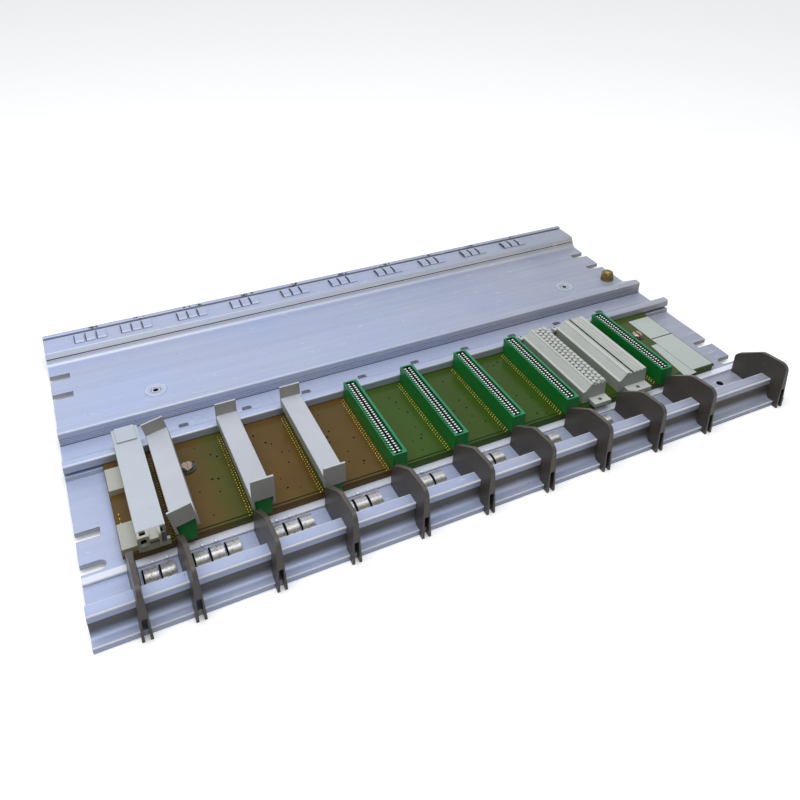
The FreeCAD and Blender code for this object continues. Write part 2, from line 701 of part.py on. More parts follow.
def connector_cap(left, flap_length, flap_drop, lean, shift):
    """Plastic cap over a card-edge connector, with a raised far tab and a front flap.

    A cap that leans hangs on the left edge of the connector, its right side lifted off.
    """
    top = BOARD_TOP + CONNECTOR_HEIGHT + CAP_CLEARANCE
    roof = top + CAP_WALL
    side_reach = CAP_SIDE_CLEARANCE + CAP_WALL
    outer_left = left - side_reach
    width = CONNECTOR_WIDTH + 2 * side_reach
    front_reach = CAP_CLEARANCE + CAP_WALL
    front = CONNECTOR_FRONT - front_reach
    channel = [
        (outer_left, top - CAP_SKIRT),
        (outer_left, roof, 0.8),
        (outer_left + width, roof, 0.8),
        (outer_left + width, top - CAP_SKIRT),
        (outer_left + width - CAP_WALL, top - CAP_SKIRT),
        (outer_left + width - CAP_WALL, top),
        (outer_left + CAP_WALL, top),
        (outer_left + CAP_WALL, top - CAP_SKIRT),
    ]
    shell = extrude_along_y(channel, front, CONNECTOR_LENGTH + CAP_CLEARANCE + front_reach)
    tab_y = CONNECTOR_FRONT + CONNECTOR_LENGTH + CAP_CLEARANCE - CAP_WALL
    far_tab = block(outer_left, tab_y, top, width, CAP_WALL, CAP_TAB_RISE + CAP_WALL)
    flap = block(outer_left, front, roof - flap_drop, width, CAP_WALL, flap_length)
    cap = shell.fuse([far_tab, flap]).removeSplitter()
    cap.translate(FreeCAD.Vector(-shift, 0, 0))
    cap.rotate(FreeCAD.Vector(left, front, top), FreeCAD.Vector(0, -1, 0), lean)
    return cap


def cover_arches(left, top):
    """Front of the cover: an arched loop, a bracket beside it and a sloping ledge between them."""
    front = COVER_FRONT - COVER_ARCH_REACH
    crown = top - COVER_WALL
    foot = top - COVER_ARCH_DROP
    inner = left + COVER_RIB_WIDTH
    right = left + COVER_ARCH_SPAN
    loop = [
        (left, foot),
        (left, top, 1.4),
        (right, top, 1.4),
        (right, foot),
        (right - COVER_RIB_WIDTH, foot),
        (right - COVER_RIB_WIDTH, crown, 1.2),
        (inner, crown, 1.2),
        (inner, foot),
    ]
    bracket = [
        (COVER_FRONT, top),
        (front, top, COVER_ARCH_REACH / 2),
        (front, foot),
        (front + COVER_WALL, foot),
        (COVER_FRONT, crown - COVER_WALL),
    ]
    ledge = [
        (COVER_FRONT, top),
        (front, top - COVER_LEDGE_SLOPE),
        (front, top - COVER_LEDGE_SLOPE - COVER_WALL),
        (COVER_FRONT, crown),
    ]
    last = left + 2 * COVER_ARCH_SPAN
    return [
        extrude_along_y(loop, front, COVER_WALL),
        extrude_along_x(bracket, left, COVER_RIB_WIDTH),
        extrude_along_x(bracket, right - COVER_RIB_WIDTH, COVER_RIB_WIDTH),
        extrude_along_x(bracket, last - COVER_RIB_WIDTH, COVER_RIB_WIDTH),
        extrude_along_x(ledge, right - COVER_RIB_WIDTH, last - right + COVER_RIB_WIDTH),
    ]


def slot_cover():
    """Cover over the narrow bay with two side clips, an arched front and a raised pad."""
    left = GUIDES[0] + COVER_OFFSET
    top = BOARD_TOP + COVER_HEIGHT
    over_ridge = RIDGE_TOP + CAP_CLEARANCE
    ridge_side = RIDGE_FRONT - CAP_CLEARANCE
    side = [
        (COVER_FRONT, BOARD_TOP),
        (COVER_FRONT, top, 0.8),
        (COVER_END, top, 3.0),
        (COVER_END, over_ridge),
        (ridge_side, over_ridge),
        (ridge_side, BOARD_TOP),
    ]
    body = extrude_along_x(side, left, COVER_WIDTH)
    inside = block(
        left + COVER_WALL, COVER_FRONT - 1, BOARD_TOP - 1,
        COVER_WIDTH - 2 * COVER_WALL, ridge_side - COVER_FRONT - COVER_WALL + 1, COVER_HEIGHT - COVER_WALL + 1,
    )
    body = body.cut(inside)
    pad_side = (COVER_WIDTH - COVER_PAD_WIDTH) / 2
    pad = block(
        left + pad_side, COVER_END - COVER_PAD_LENGTH - pad_side, top,
        COVER_PAD_WIDTH, COVER_PAD_LENGTH, COVER_PAD_HEIGHT,
    )
    pieces = [pad]
    for clip_front in (COVER_FRONT, COVER_FRONT + COVER_CLIP_SPACING):
        pieces.append(block(
            left - COVER_CLIP_WIDTH, clip_front, BOARD_TOP,
            COVER_CLIP_WIDTH, COVER_CLIP_LENGTH, COVER_CLIP_HEIGHT,
        ))
    pieces += cover_arches(left, top)
    return body.fuse(pieces).removeSplitter()


def label_plate(front, length):
    """Thin bare plate on the board, near its right edge."""
    left = BOARD_RIGHT - LABEL_INSET - LABEL_WIDTH
    return block(left, front, BOARD_TOP, LABEL_WIDTH, length, LABEL_THICKNESS)


def ground_stud():
    """Stud through the panel."""
    return disc(STUD_X, STUD_Y, PLATE_UNDERSIDE, STUD_DIAMETER, STUD_HEIGHT + PLATE_THICKNESS)


def ground_nut():
    """Hexagon nut on the washers, its upper corners turned off."""
    base = PLATE_TOP + STUD_WASHER_THICKNESS
    corner_radius = NUT_ACROSS_FLATS / math.sqrt(3)
    nut = extrude_up(hexagon(STUD_X, STUD_Y, NUT_ACROSS_FLATS), base, NUT_HEIGHT)
    cone = Part.makeCone(
        corner_radius + NUT_HEIGHT, NUT_ACROSS_FLATS / 2, NUT_HEIGHT * 1.05,
        FreeCAD.Vector(STUD_X, STUD_Y, base),
    )
    bore = disc(STUD_X, STUD_Y, base, STUD_DIAMETER, NUT_HEIGHT)
    return nut.common(cone).cut(bore)


def ground_washer():
    washer = disc(STUD_X, STUD_Y, PLATE_TOP, STUD_WASHER_DIAMETER, STUD_WASHER_THICKNESS)
    return washer.cut(disc(STUD_X, STUD_Y, PLATE_TOP, STUD_DIAMETER, STUD_WASHER_THICKNESS))


def main():
    os.makedirs("parts", exist_ok=True)
    save("near_profile", [near_profile()])
    save("far_profile", [far_profile()])
    for number, left in enumerate(GUIDES, start=1):
        save("card_guide_%02d" % number, [card_guide(left)])
    for number, group in enumerate(near_spring_places(), start=1):
        save("near_springs_%02d" % number, near_springs(group))
    for number, group in enumerate(far_spring_places(), start=1):
        save("far_springs_%02d" % number, far_springs(group))
    save("bus_board", [bus_board()])
    save("board_posts", [board_post(x) for x in board_screw_places()])
    save("board_washers", [board_washer(x) for x in board_screw_places()])
    save("board_screws", [board_screw(x) for x in board_screw_places()])
    for number, left in enumerate(card_edge_places(), start=1):
        capped = number <= len(CAP_FLAP_DROPS)
        save("card_edge_connector_%02d" % number, [card_edge_connector(left, capped)])
    for number, (left, width) in enumerate(multi_row_places(), start=1):
        save("multi_row_connector_%02d" % number, [multi_row_connector(left, width)])
    caps = zip(card_edge_places(), CAP_FLAP_LENGTHS, CAP_FLAP_DROPS, CAP_LEANS, CAP_SHIFTS)
    for number, sizes in enumerate(caps, start=1):
        save("connector_cap_%02d" % number, [connector_cap(*sizes)])
    save("slot_cover", [slot_cover()])
    label_front = BOARD_FRONT + LABEL_INSET
    save("long_plate", [label_plate(label_front, LABEL_LENGTH)])
    upper_front = label_front + LABEL_LENGTH + LABEL_GAP
    save("upper_plate", [label_plate(upper_front, UPPER_LABEL_LENGTH)])
    save("ground_stud", [ground_stud()])
    save("ground_nut", [ground_nut()])
    save("ground_washer", [ground_washer()])


main()
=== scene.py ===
import json
import math
import random

import bmesh
import bpy
from mathutils import Matrix, Vector


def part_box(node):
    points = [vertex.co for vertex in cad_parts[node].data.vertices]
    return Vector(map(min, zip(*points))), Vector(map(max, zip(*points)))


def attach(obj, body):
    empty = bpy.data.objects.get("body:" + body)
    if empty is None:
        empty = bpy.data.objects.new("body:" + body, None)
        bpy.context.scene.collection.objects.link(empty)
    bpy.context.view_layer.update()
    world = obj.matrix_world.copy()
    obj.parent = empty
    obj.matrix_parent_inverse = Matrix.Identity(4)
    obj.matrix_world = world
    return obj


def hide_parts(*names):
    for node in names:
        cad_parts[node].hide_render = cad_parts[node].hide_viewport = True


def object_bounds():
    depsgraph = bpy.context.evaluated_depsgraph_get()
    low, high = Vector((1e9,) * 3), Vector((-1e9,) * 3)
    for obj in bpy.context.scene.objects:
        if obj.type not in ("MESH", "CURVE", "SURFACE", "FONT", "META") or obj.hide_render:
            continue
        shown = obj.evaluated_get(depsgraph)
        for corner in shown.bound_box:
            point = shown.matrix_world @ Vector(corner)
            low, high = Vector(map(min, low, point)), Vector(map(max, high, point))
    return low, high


# Looks of the subrack card cage: finishes of every surface, painted highlight and shade edge lines,
# contacts in the connectors, solder joints on the board, curved springs, pips and wear. Metres throughout.

MM = 0.001
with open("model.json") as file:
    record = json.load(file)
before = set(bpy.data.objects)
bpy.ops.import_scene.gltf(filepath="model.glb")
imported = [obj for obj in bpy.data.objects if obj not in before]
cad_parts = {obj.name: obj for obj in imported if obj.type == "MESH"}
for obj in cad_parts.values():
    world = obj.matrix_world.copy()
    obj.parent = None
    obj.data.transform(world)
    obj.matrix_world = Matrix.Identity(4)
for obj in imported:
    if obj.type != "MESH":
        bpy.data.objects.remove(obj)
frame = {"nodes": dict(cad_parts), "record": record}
cad_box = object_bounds()
PART_FOOT = cad_box[0].z
PART_LENGTH = cad_box[1].x - cad_box[0].x
PLATE_TOP = PART_FOOT + 6.0 * MM
BOARD_LOW, BOARD_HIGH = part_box("bus_board")
COVER_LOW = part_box("slot_cover")[0]
SAME_PLACE = 0.05 * MM
random.seed(7)


def numbered(stem, first, last):
    return ["%s_%02d" % (stem, number) for number in range(first, last + 1)]


CAPPED_CONNECTORS = numbered("card_edge_connector", 1, 3)
OPEN_CONNECTORS = numbered("card_edge_connector", 4, 8)
MULTI_ROWS = numbered("multi_row_connector", 1, 2)
GUIDES = numbered("card_guide", 1, 11)
NEAR_SPRINGS = numbered("near_springs", 1, 9)
FAR_SPRINGS = numbered("far_springs", 1, 10)


class Shader:
    """A material under construction, with short calls for the nodes that it needs."""

    def __init__(self, name):
        self.material = bpy.data.materials.new(name)
        self.material.use_nodes = True
        self.tree = self.material.node_tree
        self.surface = self.tree.nodes["Principled BSDF"]
        self.place = self.add("ShaderNodeTexCoord").outputs["Object"]

    def add(self, kind, **values):
        node = self.tree.nodes.new(kind)
        for key, value in values.items():
            setattr(node, key, value)
        return node

    def link(self, output, socket):
        self.tree.links.new(output, socket)

    def feed(self, socket, value):
        if isinstance(value, bpy.types.NodeSocket):
            self.link(value, socket)
        elif isinstance(value, tuple):
            socket.default_value = (*value, 1)
        else:
            socket.default_value = value

    def stretched(self, x, y, z):
        """Object coordinates scaled along each axis."""
        node = self.add("ShaderNodeMapping")
        node.inputs["Scale"].default_value = (x, y, z)
        self.link(self.place, node.inputs["Vector"])
        return node.outputs["Vector"]

    def noise(self, scale, detail=3.0, roughness=0.5, vector=None):
        node = self.add("ShaderNodeTexNoise")
        node.inputs["Scale"].default_value = scale
        node.inputs["Detail"].default_value = detail
        node.inputs["Roughness"].default_value = roughness
        self.link(vector or self.place, node.inputs["Vector"])
        return node.outputs["Fac"]

    def ramp(self, value, stops):
        """Colour ramp through (position, colour) stops; a colour may be one grey value."""
        node = self.add("ShaderNodeValToRGB")
        ends = node.color_ramp.elements
        while len(ends) < len(stops):
            ends.new(0.5)
        for end, (position, colour) in zip(ends, stops):
            grey = isinstance(colour, float)
            end.position = position
            end.color = (colour, colour, colour, 1) if grey else (*colour, 1)
        self.link(value, node.inputs["Fac"])
        return node.outputs["Color"]

    def mix(self, factor, first, second, blend="MIX"):
        node = self.add("ShaderNodeMix", data_type="RGBA", blend_type=blend)
        self.feed(node.inputs[0], factor)
        self.feed(node.inputs[6], first)
        self.feed(node.inputs[7], second)
        return node.outputs[2]

    def maths(self, operation, first, second=0.0, third=0.0):
        node = self.add("ShaderNodeMath", operation=operation)
        for socket, value in zip(node.inputs, (first, second, third)):
            self.feed(socket, value)
        return node.outputs["Value"]

    def split(self, vector, letter):
        node = self.add("ShaderNodeSeparateXYZ")
        self.link(vector, node.inputs["Vector"])
        return node.outputs[letter]

    def axis(self, letter):
        return self.split(self.place, letter)

    def along(self):
        """Place along the part, from nought at its left end to one at its right."""
        return self.maths("MULTIPLY_ADD", self.axis("X"), 1 / PART_LENGTH, 0.5)

    def facing(self, letter):
        """How far the surface faces along one axis, from minus one to one."""
        return self.split(self.add("ShaderNodeNewGeometry").outputs["Normal"], letter)

    def upright(self):
        """One on faces that stand upright or look down, nought on faces that look up."""
        return self.ramp(self.facing("Z"), [(0.25, 1.0), (0.85, 0.0)])

    def times(self, colour, shade):
        """A colour multiplied by a shade."""
        return self.mix(1.0, colour, shade, "MULTIPLY")

    def share(self, value, start, length):
        """Where a value lies on a stretch: nought at its start, one at its end."""
        return self.maths("DIVIDE", self.maths("SUBTRACT", value, start), length)

    def between(self, letter, low, high, soft):
        """One where a coordinate lies between two values, in metres, with soft ends."""
        value = self.axis(letter)
        rise = self.maths("DIVIDE", self.maths("SUBTRACT", value, low - soft), soft)
        fall = self.maths("DIVIDE", self.maths("SUBTRACT", high + soft, value), soft)
        lowest = self.maths("MINIMUM", rise, fall)
        return self.ramp(lowest, [(0.0, 0.0), (1.0, 1.0)])

    def distance(self, x, y):
        """Distance in plan from a point, in metres."""
        across = self.maths("SUBTRACT", self.axis("X"), x)
        along = self.maths("SUBTRACT", self.axis("Y"), y)
        squares = self.maths("ADD", self.maths("POWER", across, 2.0), self.maths("POWER", along, 2.0))
        return self.maths("SQRT", squares)

    def bump(self, height, strength, distance):
        node = self.add("ShaderNodeBump")
        node.inputs["Strength"].default_value = strength
        node.inputs["Distance"].default_value = distance
        self.link(height, node.inputs["Height"])
        self.link(node.outputs["Normal"], self.surface.inputs["Normal"])

    def finish(self, colour, roughness, metallic=0.0, specular=0.5):
        self.feed(self.surface.inputs["Base Color"], colour)
        self.feed(self.surface.inputs["Roughness"], roughness)
        self.surface.inputs["Metallic"].default_value = metallic
        self.surface.inputs["Specular IOR Level"].default_value = specular
        return self.material


HOLE_PATTERN = next(mount for mount in frame["record"]["mounts"] if mount["name"] == "panel_holes")
HOLE_REACH = HOLE_PATTERN["dims"]["spacing_x_mm"] * MM / 2
PANEL_HOLES = [
    (HOLE_PATTERN["pos_m"][0] + side * HOLE_REACH, HOLE_PATTERN["pos_m"][1]) for side in (-1, 1)
]
DISH_RADIUS = 7.5 * MM
BAR_FACE_Y = cad_box[0].y + 13.0 * MM
BAR_SHADE_HEIGHT = 20.0 * MM
# Stretch of the strip beside the board that takes painted light against the board's shade
STRIP_BAND = (BOARD_LOW.y - 5.2 * MM, BOARD_LOW.y)
STRIP_BAND_SOFT = 0.3 * MM
SLOPE_GAIN = (1.3333, 1.3333, 1.3333)


def place_share(name):
    """Place of a node's left side along the part, from nought to one."""
    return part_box(name)[0].x / PART_LENGTH + 0.5


def extruded_aluminium():
    """Bare extruded aluminium: fine lines along X, cloudy oxide, scratches, a bright ring of painted
    highlight around each panel hole, a light strip of painted light beside the board, and painted shade
    with a dark brown band of painted reflection on the front of the bar.

    The slope ramp paints light and shade by facing: it holds three quarters of its shades, and SLOPE_GAIN
    brings them back, so that sloping faces are painted lighter than level ones and upright faces a little
    darker.
    """
    s = Shader("bare_aluminium")
    base = s.ramp(s.along(), [
        (0.0, (0.45, 0.53, 0.78)), (0.5, (0.38, 0.44, 0.64)), (1.0, (0.30, 0.33, 0.42))])
    cloud = s.noise(14.0, 4.0, 0.6)
    base = s.mix(s.ramp(cloud, [(0.35, 0.0), (0.7, 0.35)]), base, (0.50, 0.50, 0.56))
    broad = s.noise(1.0, 3.0, 0.6, s.stretched(3, 120, 120))
    streaked = s.mix(s.ramp(broad, [(0.4, 0.0), (0.75, 0.16)]), base, (0.27, 0.28, 0.34))
    lines = s.noise(1.0, 2.0, 0.5, s.stretched(6, 900, 900))
    fine = s.mix(s.ramp(lines, [(0.45, 0.0), (0.75, 0.2)]), streaked, (0.62, 0.64, 0.70))
    speck = s.noise(420.0, 2.0, 0.6)
    marked = s.mix(s.ramp(speck, [(0.68, 0.0), (0.76, 0.45)]), fine, (0.16, 0.16, 0.17))
    scratch = s.noise(1.0, 2.0, 0.7, s.stretched(80, 260, 200))
    marked = s.mix(s.ramp(scratch, [(0.66, 0.0), (0.72, 0.35)]), marked, (0.68, 0.70, 0.74))
    # Painted highlight: a lighter dish and a bright ring at its rim around each panel hole.
    for x, y in PANEL_HOLES:
        reach = s.maths("DIVIDE", s.distance(x, y), DISH_RADIUS)
        ring = s.ramp(reach, [(0.0, 0.35), (0.55, 0.25), (0.8, 0.0), (0.9, 0.7), (1.0, 0.0)])
        marked = s.mix(ring, marked, (0.72, 0.74, 0.80))
    # Painted shade and a dark brown band of painted reflection on the front faces of the bar, darkest in
    # the middle of its height.
    front = s.ramp(s.share(s.axis("Y"), BAR_FACE_Y, MM), [(0.2, 1.0), (0.8, 0.0)])
    painted_front_shade = s.ramp(s.share(s.axis("Z"), PART_FOOT, BAR_SHADE_HEIGHT), [
        (0.20, (1.0, 1.0, 1.0)), (0.28, (0.66, 0.63, 0.56)), (0.42, (0.36, 0.31, 0.22)),
        (0.70, (0.36, 0.31, 0.22)), (0.76, (0.95, 0.95, 0.95))])
    # Painted light and shade by facing: sloping faces lighter, upright faces a little darker than level
    # ones.
    slope = s.ramp(s.facing("Z"), [
        (0.05, (0.72, 0.69, 0.62)), (0.30, (1.0, 0.93, 0.76)),
        (0.75, (1.0, 0.93, 0.78)), (0.95, (0.75, 0.75, 0.75))])
    behind = s.times(s.times(marked, slope), SLOPE_GAIN)
    # Painted light on the strip beside the board, which lies in the board's shade.
    behind = s.mix(s.between("Y", *STRIP_BAND, STRIP_BAND_SOFT), behind, (0.78, 0.81, 0.92))
    colour = s.mix(front, behind, s.times(marked, painted_front_shade))
    s.bump(lines, 0.12, 0.0002)
    rough = s.ramp(broad, [(0.3, 0.34), (0.7, 0.5)])
    return s.finish(colour, rough, metallic=0.22, specular=0.25)


def guide_plastic():
    """Dark grey-brown moulded plastic, a little scuffed, lighter where it has rubbed, with painted shade on
    its upright faces.
    """
    s = Shader("dark_plastic")
    cloud = s.noise(35.0, 3.0, 0.6)
    colour = s.mix(s.ramp(cloud, [(0.35, 0.0), (0.75, 0.6)]), (0.060, 0.050, 0.042), (0.095, 0.083, 0.072))
    scuff = s.noise(1.0, 3.0, 0.6, s.stretched(60, 500, 90))
    colour = s.mix(s.ramp(scuff, [(0.62, 0.0), (0.78, 0.4)]), colour, (0.16, 0.145, 0.13))
    # Painted shade on upright faces.
    colour = s.mix(s.upright(), colour, s.times(colour, (0.85, 0.84, 0.80)))
    s.bump(s.noise(900.0, 2.0, 0.6), 0.15, 0.0001)
    return s.finish(colour, s.ramp(cloud, [(0.3, 0.34), (0.8, 0.5)]), specular=0.45)


def galvanised_spring():
    """Plated spring strip: grey spangles, brown speckles, and bands of painted highlight and painted shade
    across its curve, set by the way the surface faces.
    """
    s = Shader("spring_steel")
    cells = s.add("ShaderNodeTexVoronoi")
    cells.inputs["Scale"].default_value = 1100.0
    s.link(s.place, cells.inputs["Vector"])
    spangle = s.ramp(cells.outputs["Distance"], [(0.1, (0.62, 0.62, 0.63)), (0.65, (0.44, 0.44, 0.46))])
    brown = s.noise(420.0, 3.0, 0.7)
    left = s.ramp(s.along(), [(0.15, 0.75), (0.6, 0.15)])
    share = s.maths("MULTIPLY", s.ramp(brown, [(0.55, 0.0), (0.63, 0.9)]), left)
    # Painted highlight and painted shade across the curve, by the way the surface faces.
    painted_curve_bands = s.ramp(s.maths("MULTIPLY_ADD", s.facing("Y"), 0.5, 0.5), [
        (0.08, (0.95, 0.95, 0.93)), (0.16, (0.34, 0.30, 0.22)), (0.28, (0.42, 0.41, 0.36)),
        (0.38, (1.5, 1.5, 1.5)), (0.46, (0.95, 0.95, 0.95)), (0.60, (1.1, 1.1, 1.12))])
    colour = s.times(s.mix(share, spangle, (0.13, 0.10, 0.06)), painted_curve_bands)
    s.bump(cells.outputs["Distance"], 0.2, 0.0002)
    return s.finish(colour, s.ramp(brown, [(0.3, 0.25), (0.7, 0.45)]), metallic=0.5)


def board_laminate():
    """Glossy lacquered laminate: brown at the left with one greenish patch, olive green beyond."""
    s = Shader("board_laminate")
    patch = place_share("card_edge_connector_02")
    green = place_share("card_edge_connector_04")
    base = s.ramp(s.along(), [
        (0.02, (0.120, 0.072, 0.022)),
        (patch - 0.048, (0.118, 0.070, 0.018)),
        (patch - 0.014, (0.078, 0.088, 0.013)),
        (patch + 0.015, (0.125, 0.070, 0.018)),
        (green, (0.115, 0.066, 0.016)),
        (green + 0.020, (0.046, 0.092, 0.012)),
        (0.70, (0.034, 0.080, 0.007)),
        (0.95, (0.060, 0.085, 0.020)),
    ])
    cloud = s.noise(28.0, 3.0, 0.6)
    colour = s.mix(s.ramp(cloud, [(0.35, 0.0), (0.75, 0.35)]), base, (0.045, 0.040, 0.010))
    s.bump(s.noise(1400.0, 2.0, 0.5), 0.04, 0.0001)
    return s.finish(colour, s.ramp(cloud, [(0.3, 0.16), (0.8, 0.24)]), specular=0.12)


STRETCH_SHADE_SOFT = 0.2 * MM


def satin_plastic(
        name, low, high, shade, roughness=0.45, stain=(0.2, 0.19, 0.16), stain_share=0.25, specular=0.25,
        shaded_stretches=(), stretch_shade=(1.0, 1.0, 1.0)):
    """Moulded plastic with cloudy ageing and small stains; its upright faces take the shade, a painted
    shade.

    Each listed (axis, start, end) stretch has its colour multiplied by a painted shade, the last argument.
    """
    s = Shader(name)
    cloud = s.noise(22.0, 4.0, 0.6)
    colour = s.mix(s.ramp(cloud, [(0.3, 0.0), (0.7, 1.0)]), low, high)
    dirt = s.noise(260.0, 3.0, 0.7)
    colour = s.mix(s.ramp(dirt, [(0.62, 0.0), (0.82, stain_share)]), colour, stain)
    # Painted shade on upright faces.
    colour = s.mix(s.upright(), colour, s.times(colour, shade))
    # Painted shade over the listed stretches.
    for letter, start, end in shaded_stretches:
        colour = s.mix(s.between(letter, start, end, STRETCH_SHADE_SOFT), colour, s.times(colour, stretch_shade))
    s.bump(s.noise(1200.0, 2.0, 0.6), 0.1, 0.0001)
    return s.finish(colour, s.ramp(cloud, [(0.3, roughness), (0.8, roughness + 0.12)]), specular=specular)


def metal(name, dark, light, roughness, scale=300.0):
    """Worn metal with small dark spots in its finish."""
    s = Shader(name)
    spots = s.noise(scale, 3.0, 0.65)
    colour = s.ramp(spots, [(0.3, light), (0.55, light), (0.75, dark)])
    s.bump(spots, 0.1, 0.0001)
    return s.finish(colour, s.ramp(spots, [(0.3, roughness), (0.8, roughness + 0.25)]), metallic=0.9)


# Stretches of the cover, its clips and its arches, whose colour takes a painted shade.
COVER_CLIPS = ("X", COVER_LOW.x - 3.0 * MM, COVER_LOW.x + 6.5 * MM)
COVER_ARCHES = ("Y", COVER_LOW.y - 1.0 * MM, COVER_LOW.y + 5.4 * MM)

MATERIALS = {
    "bare_aluminium": extruded_aluminium(),
    "dark_plastic": guide_plastic(),
    "spring_steel": galvanised_spring(),
    "board_laminate": board_laminate(),
    "zinc_steel": metal("zinc_steel", (0.16, 0.14, 0.12), (0.46, 0.44, 0.42), 0.35),
    "green_plastic": satin_plastic(
        "green_plastic", (0.014, 0.20, 0.090), (0.024, 0.24, 0.115), (0.24, 0.78, 0.27), 0.34,
        (0.01, 0.10, 0.04)),
    "pale_green_plastic": satin_plastic(
        "pale_green_plastic", (0.46, 0.475, 0.455), (0.54, 0.555, 0.53), (0.62, 0.64, 0.60), 0.45),
    "grey_plastic": satin_plastic(
        "grey_plastic", (0.46, 0.48, 0.53), (0.54, 0.56, 0.62), (0.66, 0.62, 0.52), 0.42),
    "cream_plastic": satin_plastic(
        "cream_plastic", (0.46, 0.51, 0.58), (0.52, 0.56, 0.62), (0.80, 0.74, 0.56), 0.42,
        shaded_stretches=(COVER_CLIPS, COVER_ARCHES), stretch_shade=(0.86, 0.80, 0.66)),
    "white_film": satin_plastic("white_film", (0.42, 0.46, 0.44), (0.48, 0.52, 0.50), (0.8, 0.8, 0.8), 0.4),
    "brass": metal("brass", (0.04, 0.028, 0.010), (0.25, 0.185, 0.075), 0.3),
}
CONTACT_WHITE = satin_plastic(
    "contact_white", (0.84, 0.87, 0.84), (0.93, 0.95, 0.93), (0.7, 0.75, 0.7), 0.4, (0.5, 0.5, 0.45))
# Black that paints the shade in cavities, holes, slits and gaps.
SHADE_BLACK = satin_plastic(
    "shade_black", (0.002, 0.004, 0.003), (0.005, 0.008, 0.005), (1.0, 1.0, 1.0), 0.8, (0.01, 0.01, 0.01),
    specular=0.04)
TAB_GREY = satin_plastic("tab_grey", (0.10, 0.10, 0.11), (0.14, 0.14, 0.15), (0.9, 0.9, 0.9), 0.45)
DARK_WASHER = metal("dark_washer", (0.03, 0.035, 0.03), (0.085, 0.10, 0.095), 0.4)
BROWN_SCREW = metal("brown_screw", (0.10, 0.07, 0.05), (0.36, 0.29, 0.24), 0.3, 200.0)
# Painted highlight for the lines on outer edges.
PAINTED_HIGHLIGHT_LINE = satin_plastic(
    "painted_highlight_line", (0.66, 0.68, 0.74), (0.80, 0.81, 0.86), (0.9, 0.9, 0.9), 0.3, (0.3, 0.3, 0.32),
    stain_share=0.6)
# Painted shade for the lines in inner corners and the far spring slits, and the colour of dark smudges on
# the rail.
LINE_DARK = satin_plastic(
    "line_dark", (0.035, 0.035, 0.042), (0.075, 0.078, 0.095), (1.0, 1.0, 1.0), 0.6, (0.15, 0.15, 0.16),
    stain_share=0.6)
EDGE_LINE_GREEN = satin_plastic(
    "edge_line_green", (0.004, 0.022, 0.006), (0.008, 0.034, 0.010), (1.0, 1.0, 1.0), 0.5, (0.01, 0.02, 0.01),
    specular=0.04)
SOLDER_GOLD = metal("solder_gold", (0.25, 0.20, 0.03), (0.72, 0.62, 0.14), 0.3, 900.0)


def new_piece(name, mesh, slot, material=None, smooth=False):
    """Object around a finished bmesh that rides with the frame."""
    data = bpy.data.meshes.new(name)
    mesh.to_mesh(data)
    mesh.free()
    if smooth:
        data.shade_smooth()
    piece = bpy.data.objects.new(name, data)
    bpy.context.collection.objects.link(piece)
    data.materials.append(material or MATERIALS[slot])
    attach(piece, "root")
    return piece


def add_box(mesh, low, high, bevel=0.0):
    """Box between two corners, with its edges chamfered by bevel."""
    made = bmesh.ops.create_cube(mesh, size=1.0)["verts"]
    size = high - low
    centre = (low + high) / 2
    for vertex in made:
        vertex.co = centre + Vector((vertex.co.x * size.x, vertex.co.y * size.y, vertex.co.z * size.z))
    if bevel:
        edges = list({edge for vertex in made for edge in vertex.link_edges})
        bmesh.ops.bevel(mesh, geom=edges, offset=bevel, segments=1, affect="EDGES", clamp_overlap=True)


def add_dome(mesh, centre, radius, height, sides, rings):
    """Low dome standing on a centre point, closed below."""
    levels = []
    for ring in range(rings):
        turn = math.pi / 2 * ring / rings
        levels.append((radius * math.cos(turn), height * math.sin(turn)))
    turns = [2 * math.pi * side / sides for side in range(sides)]
    loops = []
    for reach, rise in levels:
        loops.append([
            mesh.verts.new(centre + Vector((reach * math.cos(turn), reach * math.sin(turn), rise)))
            for turn in turns])
    tip = mesh.verts.new(centre + Vector((0, 0, height)))
    for lower, upper in zip(loops, loops[1:]):
        for side in range(sides):
            after = (side + 1) % sides
            mesh.faces.new((lower[side], lower[after], upper[after], upper[side]))
    for side in range(sides):
        mesh.faces.new((loops[-1][side], loops[-1][(side + 1) % sides], tip))
    mesh.faces.new(list(reversed(loops[0])))


def add_strip(mesh, left, right, points, thickness):
    """Bent strip of sheet through (y, z) points of its lower face."""
    rows = []
    for y, z in points:
        rows.append([
            mesh.verts.new((left, y, z)), mesh.verts.new((right, y, z)),
            mesh.verts.new((right, y, z + thickness)), mesh.verts.new((left, y, z + thickness)),
        ])
    for near, far in zip(rows, rows[1:]):
        for corner in range(4):
            after = (corner + 1) % 4
            mesh.faces.new((near[corner], near[after], far[after], far[corner]))
    mesh.faces.new(list(reversed(rows[0])))
    mesh.faces.new(rows[-1])


SMALL_PARTS = {"board_washers": DARK_WASHER, "board_screws": BROWN_SCREW}


def dress_frame():
    """Every construction node takes the finish of its slot in the record, apart from the board's washers
    and screws, which take finishes of their own.
    """
    slots = {item["node"]: item["material_slot"] for item in frame["record"]["subparts"]}
    for name, node in frame["nodes"].items():
        node.data.materials.clear()
        node.data.materials.append(SMALL_PARTS.get(name, MATERIALS[slots[name]]))


EDGE_TURN = math.radians(24)
EDGE_LENGTH = 12 * MM
EDGE_REACH = 0.28 * MM
CORNER_REACH = 0.42 * MM
EDGE_LIFT = 0.03 * MM
ROUND_TURN = math.radians(4)
ROUND_WIDTH = 0.30 * MM
CORNER_WIDTH = 0.8 * MM
WELD_REACH = 0.001 * MM
LOOKS_UP = 0.05


